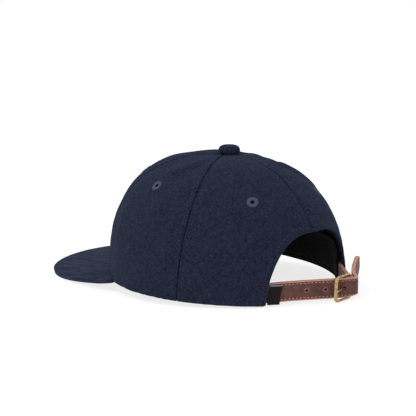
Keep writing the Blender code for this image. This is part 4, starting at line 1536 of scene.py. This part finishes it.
class CAP_OT_long_strap(bpy.types.Operator):
    """Cut, punch, stitch and fold the long leather strap"""

    bl_idname = "cap.long_strap"
    bl_label = "Long strap"
    step = 0.0007
    through = 0.004
    row_sink = 0.00016
    row_width = 0.0006
    hole_rise = 0.00028
    hole_width = 0.0008
    fold_lift = 0.0015
    fold_width = 0.0052
    pale_edge = 0.0006
    pale_fade = 0.0004
    hole_pale = 0.40
    hole_edge = 0.0002
    hole_fade = 0.0006
    thread_sink = 0.00008

    def execute(self, context):
        layout = Layout()
        straps = layout.sizes
        lengths, route = layout.stations()
        total = lengths[-1]
        run_start = lengths[len(layout.root) - 1]
        crossing = straps.run - layout.fold_radius / tan(straps.buckle_turn)
        holes = [run_start + crossing - i * straps.hole_pitch for i in range(3)]

        def half_width(at):
            left = min((total - at) / straps.taper, 1.0)
            return straps.width / 2 * blend(0.30, 1.0, sqrt(max(1 - (1 - left) ** 2, 0.0)))

        strap = slab("leather_long_strap", total, half_width, straps.thickness, self.step)
        self.press(strap, straps, half_width, holes)
        round_edges(strap, straps.edge, 3, 60.0)
        for i, at in enumerate(holes):
            wide = straps.prong + 4 * straps.gap if i == 0 else straps.hole
            narrow = wide if i == 0 else straps.hole * 0.18
            top = Vector((at, 0, self.through))
            drill(strap, Vector((at, 0, -self.through)), top, narrow)
            drill(strap, Vector((at, 0, -straps.thickness * 0.3)), top, wide)
        # Paints the pale cut edges, which carry a painted highlight, and the worn rims round the holes
        paint(strap, "edge", lambda place: self.edge(place, straps, half_width, holes, total))
        self.lift_fold(strap, straps, run_start + straps.run + layout.fold_radius * straps.fold / 2)
        bent(strap, lengths, route)
        leather = made_once("Brown leather", leather_finish)
        hand_over(strap, leather, "brown_leather", "long_strap", smooth_angle=45.0)
        flat = self.stitches(straps, half_width, run_start, total)
        places = [bent_place(place, lengths, route) for place in flat]
        pattern = stitch_shape("Stitch", straps.stitch, straps.stitch_thread)
        threads = stamped("long_strap_stitches", pattern, places)
        hand_over(threads, made_once("Strap thread", strap_thread_finish), "brown_leather")
        return {"FINISHED"}

    def press(self, strap, straps, half_width, holes):
        """Sinks the stitch rows a little and raises the leather round each hole."""
        for vertex in strap.data.vertices:
            from_edge = half_width(vertex.co.x) - abs(vertex.co.y)
            face = 1 if vertex.co.z > 0 else -1
            sunk = self.row_sink * bump(from_edge - straps.stitch_row, self.row_width)
            raised = 0.0
            for at in holes:
                from_hole = hypot(vertex.co.x - at, vertex.co.y) - straps.hole / 2
                raised = max(raised, self.hole_rise * bump(max(from_hole, 0.0), self.hole_width))
            vertex.co.z += face * (raised - sunk)

    def lift_fold(self, strap, straps, fold_middle):
        """Pulls the strap's lower edge up where it folds round the buckle."""
        for vertex in strap.data.vertices:
            low = smooth(-vertex.co.y / straps.width * 2)
            vertex.co.y += self.fold_lift * low * bump(vertex.co.x - fold_middle, self.fold_width)

    def edge(self, place, straps, half_width, holes, total):
        """How much of the pale cut edge, with its painted highlight, shows."""
        near = min(half_width(place.x) - abs(place.y), total - place.x)
        pale = 1 - smooth((near - self.pale_edge) / self.pale_fade)
        for at in holes:
            rim = hypot(place.x - at, place.y) - straps.hole / 2
            on_face = smooth((place.z - straps.thickness * 0.48) / (straps.thickness * 0.03))
            worn = 1 - smooth((rim - self.hole_edge) / self.hole_fade)
            pale = max(pale, self.hole_pale * on_face * worn)
        return pale

    def stitches(self, straps, half_width, run_start, total):
        """Places of the stitches on both faces of the straight strap."""
        places = []
        last = total - straps.taper * 0.35
        for face, turned in FACES:
            for side in (-1, 1):
                line = []
                for i in range(401):
                    at = blend(run_start, last, i / 400)
                    line.append(Vector((at, side * (half_width(at) - straps.stitch_row), 0.0)))
                for share, along in evenly(line, straps.stitch_pitch):
                    at = blend(run_start, last, share)
                    y = side * (half_width(at) - straps.stitch_row)
                    centre = Vector((at, y, face * (straps.thickness / 2 - self.thread_sink)))
                    swing = Matrix.Rotation(atan2(along.y, along.x), 4, "Z")
                    places.append(Matrix.Translation(centre) @ swing @ turned)
        return places


class CAP_OT_short_strap(bpy.types.Operator):
    """Loop the short strap round the buckle's hinge bar"""

    bl_idname = "cap.short_strap"
    bl_label = "Short strap"
    step = 0.0006
    arc_steps = 32
    pale_edge = 0.0003
    pale_fade = 0.0005

    def execute(self, context):
        layout = Layout()
        straps = layout.sizes
        half = straps.layer / 2 + straps.gap / 2
        loop = straps.wire / 2 + straps.gap + straps.layer / 2
        root = layout.sewn_end("right", 2 * straps.layer + straps.gap)[::-1]
        toward = (root[0] - layout.hinge).normalized()
        middle = [layout.hinge.lerp(root[0], i / 12) for i in range(13)] + root[1:]
        opening = asin(half / loop)
        heading = atan2(toward.y, toward.x)
        left = []
        right = []
        for point, side in zip(middle, self.sideways(middle)):
            if (point - layout.hinge).length > loop:
                left.append(point + side * half)
                right.append(point - side * half)
        arc = []
        for i in range(self.arc_steps + 1):
            swing = heading + opening + (2 * pi - 2 * opening) * i / self.arc_steps
            arc.append(layout.hinge + plan(swing, loop))
        line = left[::-1] + arc + right
        lengths, route = self.route(line, straps.fold_height)
        half_width = straps.width / 2
        strap = slab("leather_short_strap", lengths[-1], lambda at: half_width, straps.layer, self.step)
        self.slot(strap, lengths, len(left), straps)
        round_edges(strap, straps.layer * 0.3, 2, 60.0)
        inner = half_width - self.pale_edge
        # Pale cut edges with a painted highlight, as on the long strap
        paint(strap, "edge", lambda place: 1 - smooth((inner - abs(place.y)) / self.pale_fade))
        bent(strap, lengths, route)
        leather = made_once("Brown leather", leather_finish)
        hand_over(strap, leather, "brown_leather", "short_strap", smooth_angle=45.0)
        self.stitch(straps, lengths, route)
        return {"FINISHED"}

    def sideways(self, line):
        """Directions to the left of a plan line, at each of its points."""
        for before, after in zip(line[:1] + line[:-1], line[1:] + line[-1:]):
            way = (after - before).normalized()
            yield Vector((-way.y, way.x, 0.0))

    def route(self, line, height):
        """Stations along a plan line at one height, facing out of the loop."""
        sides = self.sideways(line)
        found = [(point + UP * height, side, UP) for point, side in zip(line, sides)]
        return lengths_along([station[0] for station in found]), found

    def slot(self, strap, lengths, first, straps):
        """Cuts the slot that the prong passes through."""
        start, end = lengths[first], lengths[first + self.arc_steps]
        deselect()
        bpy.ops.mesh.primitive_cube_add(size=1.0)
        tool = bpy.context.object
        reach = (end - start) * 0.80
        for vertex in tool.data.vertices:
            x = (start + end) / 2 + vertex.co.x * reach
            vertex.co = Vector((x, vertex.co.y * (straps.prong + 2 * straps.gap), vertex.co.z * 0.01))
        cut_away(strap, tool)

    def stitch(self, straps, lengths, route):
        """Rows of thread along both edges of both faces, from the buckle to the crown."""
        places = []
        total = lengths[-1]
        for side in (-1, 1):
            y = side * (straps.width / 2 - straps.stitch_row)
            line = [Vector((total * i / 200, y, 0.0)) for i in range(201)]
            for share, _ in evenly(line, straps.stitch_pitch):
                if 0.34 < share < 0.66:
                    continue
                for face, turned in FACES:
                    centre = line[0] + Vector((total * share, 0.0, face * straps.layer * 0.42))
                    places.append(bent_place(Matrix.Translation(centre) @ turned, lengths, route))
        pattern = stitch_shape("Stitch", straps.stitch, straps.stitch_thread)
        threads = stamped("short_strap_stitches", pattern, places)
        hand_over(threads, made_once("Strap thread", strap_thread_finish), "brown_leather")


def rod(name, points, diameter, closed, girth=None):
    """A round wire along points, whose girth may vary. It is a curve turned into a mesh."""
    curve = bpy.data.curves.new(name, "CURVE")
    curve.dimensions = "3D"
    curve.bevel_depth = diameter / 2
    curve.bevel_resolution = 7
    curve.use_fill_caps = True
    spline = curve.splines.new("POLY")
    spline.points.add(len(points) - 1)
    spline.use_cyclic_u = closed
    for i, (target, point) in enumerate(zip(spline.points, points)):
        target.co = (*point, 1.0)
        target.radius = girth[i] if girth else 1.0
    piece = bpy.data.objects.new(name, curve)
    bpy.context.scene.collection.objects.link(piece)
    choose(piece)
    bpy.ops.object.convert(target="MESH")
    return bpy.context.object


class CAP_OT_buckle(bpy.types.Operator):
    """Bend the buckle's frame and its prong from wire"""

    bl_idname = "cap.buckle"
    bl_label = "Buckle"

    def execute(self, context):
        layout = Layout()
        brass = made_once("Antique brass", brass_finish)
        hand_over(self.bow(layout), brass, "antique_brass", "buckle_frame", smooth_angle=70.0)
        hand_over(self.prong(layout), brass, "antique_brass", "buckle_prong", smooth_angle=70.0)
        return {"FINISHED"}

    def bow(self, layout):
        """A wire rectangle with round corners, whose front bar is thicker."""
        straps = layout.sizes
        half_height = straps.width / 2 + straps.slack + straps.wire / 2
        half_depth = straps.buckle_depth / 2
        centre = layout.hinge.lerp(layout.bar, 0.5) + UP * straps.fold_height
        to_bar = plan(layout.frame_heading)
        points = []
        girth = []
        corners = ((1, 1, 0, straps.buckle_corner), (-1, 1, 90, straps.hinge_corner))
        corners += ((-1, -1, 180, straps.hinge_corner), (1, -1, 270, straps.buckle_corner))
        for along, up, first, corner in corners:
            for i in range(13):
                swing = radians(first + 90 * i / 12)
                out = along * (half_depth - corner) + corner * cos(swing)
                lift = up * (half_height - corner) + corner * sin(swing)
                points.append(centre + to_bar * out + UP * lift)
                front = smooth((out - half_depth * 0.55) / (half_depth * 0.4))
                girth.append(blend(1.0, straps.front_bar / straps.wire, front))
        return rod("brass_frame", points, straps.wire, True, girth)

    def prong(self, layout):
        """A loop round the hinge bar that runs on over the front bar and curls down to it."""
        straps = layout.sizes
        start, end = layout.prong_line()
        centre = layout.hinge + UP * straps.fold_height
        loop = (start - centre).length
        first = layout.frame_heading - pi / 2
        points = []
        for i in range(40):
            points.append(centre + plan(first - straps.loop_turn * (1 - i / 40), loop))
        points += [start.lerp(end, i / 16) for i in range(17)]
        count = len(points)
        girth = [blend(1.0, 0.78, smooth((i - count + 9) / 8)) for i in range(count)]
        return rod("brass_prong", points, straps.prong, False, girth)


class CAP_OT_label(bpy.types.Operator):
    """Fold the bare woven label over the strap beside the crown"""

    bl_idname = "cap.label"
    bl_label = "Label"
    fold_rise = 0.0004
    back_short = 0.001
    ripple_height = 0.00012
    worn_below = 0.0002
    worn_fade = 0.0003

    def execute(self, context):
        layout = Layout()
        straps = layout.sizes
        near = straps.thickness / 2 + straps.gap
        far = near + straps.label
        foot = layout.run_height(0.0) - straps.width / 2 - straps.label_drop
        head = foot + straps.width
        middle = straps.label / 4
        fold_foot = head - straps.label * 0.6
        section = [(far - middle, blend(foot, fold_foot, i / 20)) for i in range(21)]
        for i in range(1, 9):
            swing = pi * i / 8
            across = (near + far) / 2 + (straps.label / 2 - middle) * cos(swing)
            section.append((across, fold_foot + self.fold_rise * sin(swing)))
        end = foot + self.back_short
        section += [(near + middle, blend(fold_foot, end, i / 12)) for i in range(1, 13)]
        top_edge = layout.crown.surface(layout.crown.opening_angle("left", head), 0.0)

        def shape(along, around):
            at = around * (len(section) - 1)
            i = min(int(at), len(section) - 2)
            across, level = (blend(a, b, at - i) for a, b in zip(section[i], section[i + 1]))
            edge = layout.crown.surface(layout.crown.opening_angle("left", max(level, 0.0)), 0.0)
            slant = (edge - top_edge).dot(layout.along)
            ripple = self.ripple_height * sin(9 * along) * (1 if i < 20 else 0)
            where = layout.start + layout.along * (straps.label_place + straps.label_width * along + slant)
            return where + layout.outward * (across + ripple) + UP * level

        label = wrapped("woven_label", 24, 80, shape)
        thicken(label, straps.label * 0.42, offset=0.0)
        worn_from = fold_foot - self.worn_below
        paint(label, "fold", lambda place: smooth((place.z - worn_from) / self.worn_fade))
        finish = made_once("Woven label", label_finish)
        hand_over(label, finish, "black_woven_tab", "label_tab", smooth_angle=60.0)
        return {"FINISHED"}


# Stage


class CAP_OT_stage(bpy.types.Operator):
    """Lay the white floor, hang the soft lights and place the camera"""

    bl_idname = "cap.stage"
    bl_label = "Stage"

    def execute(self, context):
        stage = sizes("cap_stage")
        colours = sizes("cap_colours")
        deselect()
        bpy.ops.mesh.primitive_plane_add(size=stage.floor)
        floor = bpy.context.object
        floor.name = "floor"
        matte = Finish("Floor")
        matte.set(Base_Color=rgba(colours.floor), Roughness=0.9, Specular_IOR_Level=0.0)
        matte.set(Emission_Color=(1.0, 1.0, 1.0, 1.0), Emission_Strength=stage.glow)
        matte.material.cycles.emission_sampling = "NONE"
        floor.data.materials.append(matte.material)
        key = self.light("Key light", stage.key, 1.4, Vector((0.75, -0.25, 1.35)))
        fill = self.light("Fill light", stage.fill, 1.2, Vector((0.55, 1.30, 0.55)))
        self.sky(stage.world)
        self.camera(stage)
        context.scene.view_settings.view_transform = "Standard"
        return {"FINISHED"}

    def light(self, name, power, width, place):
        """A large soft light that looks at the cap."""
        bpy.ops.object.light_add(type="AREA", location=place)
        lamp = bpy.context.object
        lamp.name = name
        lamp.data.energy = power
        lamp.data.size = width
        lamp.rotation_euler = (Vector((0.0, 0.0, 0.05)) - place).to_track_quat("-Z", "Y").to_euler()
        return lamp

    def sky(self, strength):
        """White light from all round."""
        world = bpy.data.worlds.new("White studio")
        world.use_nodes = True
        light = world.node_tree.nodes["Background"]
        light.inputs["Color"].default_value = (1.0, 1.0, 1.0, 1.0)
        light.inputs["Strength"].default_value = strength
        bpy.context.scene.world = world

    def camera(self, stage):
        """Looks at the cap from behind its left side, a little from above."""
        azimuth, elevation = stage.camera_azimuth, stage.camera_elevation
        back = Vector((sin(azimuth) * cos(elevation), -cos(azimuth) * cos(elevation), sin(elevation)))
        right = Vector((cos(azimuth), sin(azimuth), 0.0))
        up = back.cross(right)
        eye = back * stage.camera_distance + right * stage.camera_right + up * stage.camera_up
        bpy.ops.object.camera_add()
        camera = bpy.context.object
        camera.data.lens = stage.lens
        camera.data.sensor_width = 36.0
        axes = Matrix((right, up, back)).transposed().to_4x4()
        camera.matrix_world = resting() @ Matrix.Translation(eye) @ axes
        bpy.context.scene.camera = camera


class CAP_PT_sidebar(bpy.types.Panel):
    """Settings and steps of the cap"""

    bl_label = "Strapback Cap"
    bl_idname = "CAP_PT_sidebar"
    bl_space_type = "VIEW_3D"
    bl_region_type = "UI"
    bl_category = "Cap"

    def draw(self, context):
        """Lists the steps in their order, and every setting."""
        for operator in OPERATORS:
            self.layout.operator(operator.bl_idname)
        for name, group_type in GROUPS.items():
            box = self.layout.box()
            box.label(text=group_type.__doc__)
            for setting in group_type.__annotations__:
                box.prop(getattr(context.scene, name), setting)


GROUPS = {
    "cap_crown": CapCrownSizes,
    "cap_parts": CapPartSizes,
    "cap_straps": CapStrapSizes,
    "cap_colours": CapColours,
    "cap_stage": CapStageSizes,
}
OPERATORS = (
    CAP_OT_panels,
    CAP_OT_seam_stitches,
    CAP_OT_eyelets,
    CAP_OT_button,
    CAP_OT_lining,
    CAP_OT_sweatband,
    CAP_OT_peak,
    CAP_OT_long_strap,
    CAP_OT_short_strap,
    CAP_OT_buckle,
    CAP_OT_label,
    CAP_OT_stage,
)


def register():
    """Adds the cap's settings, steps and panel to Blender."""
    for kind in (*GROUPS.values(), *OPERATORS, CAP_PT_sidebar):
        bpy.utils.register_class(kind)
    for name, kind in GROUPS.items():
        setattr(bpy.types.Scene, name, PointerProperty(type=kind))


def unregister():
    """Takes them away again."""
    for name in GROUPS:
        delattr(bpy.types.Scene, name)
    for kind in reversed((*GROUPS.values(), *OPERATORS, CAP_PT_sidebar)):
        bpy.utils.unregister_class(kind)


def main():
    """Dresses the cap."""
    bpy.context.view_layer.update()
    register()
    bpy.ops.cap.panels()
    bpy.ops.cap.seam_stitches()
    bpy.ops.cap.eyelets()
    bpy.ops.cap.button()
    bpy.ops.cap.lining()
    bpy.ops.cap.sweatband()
    bpy.ops.cap.peak()
    bpy.ops.cap.long_strap()
    bpy.ops.cap.short_strap()
    bpy.ops.cap.buckle()
    bpy.ops.cap.label()
    bpy.ops.cap.stage()


if __name__ == "__main__":
    main()
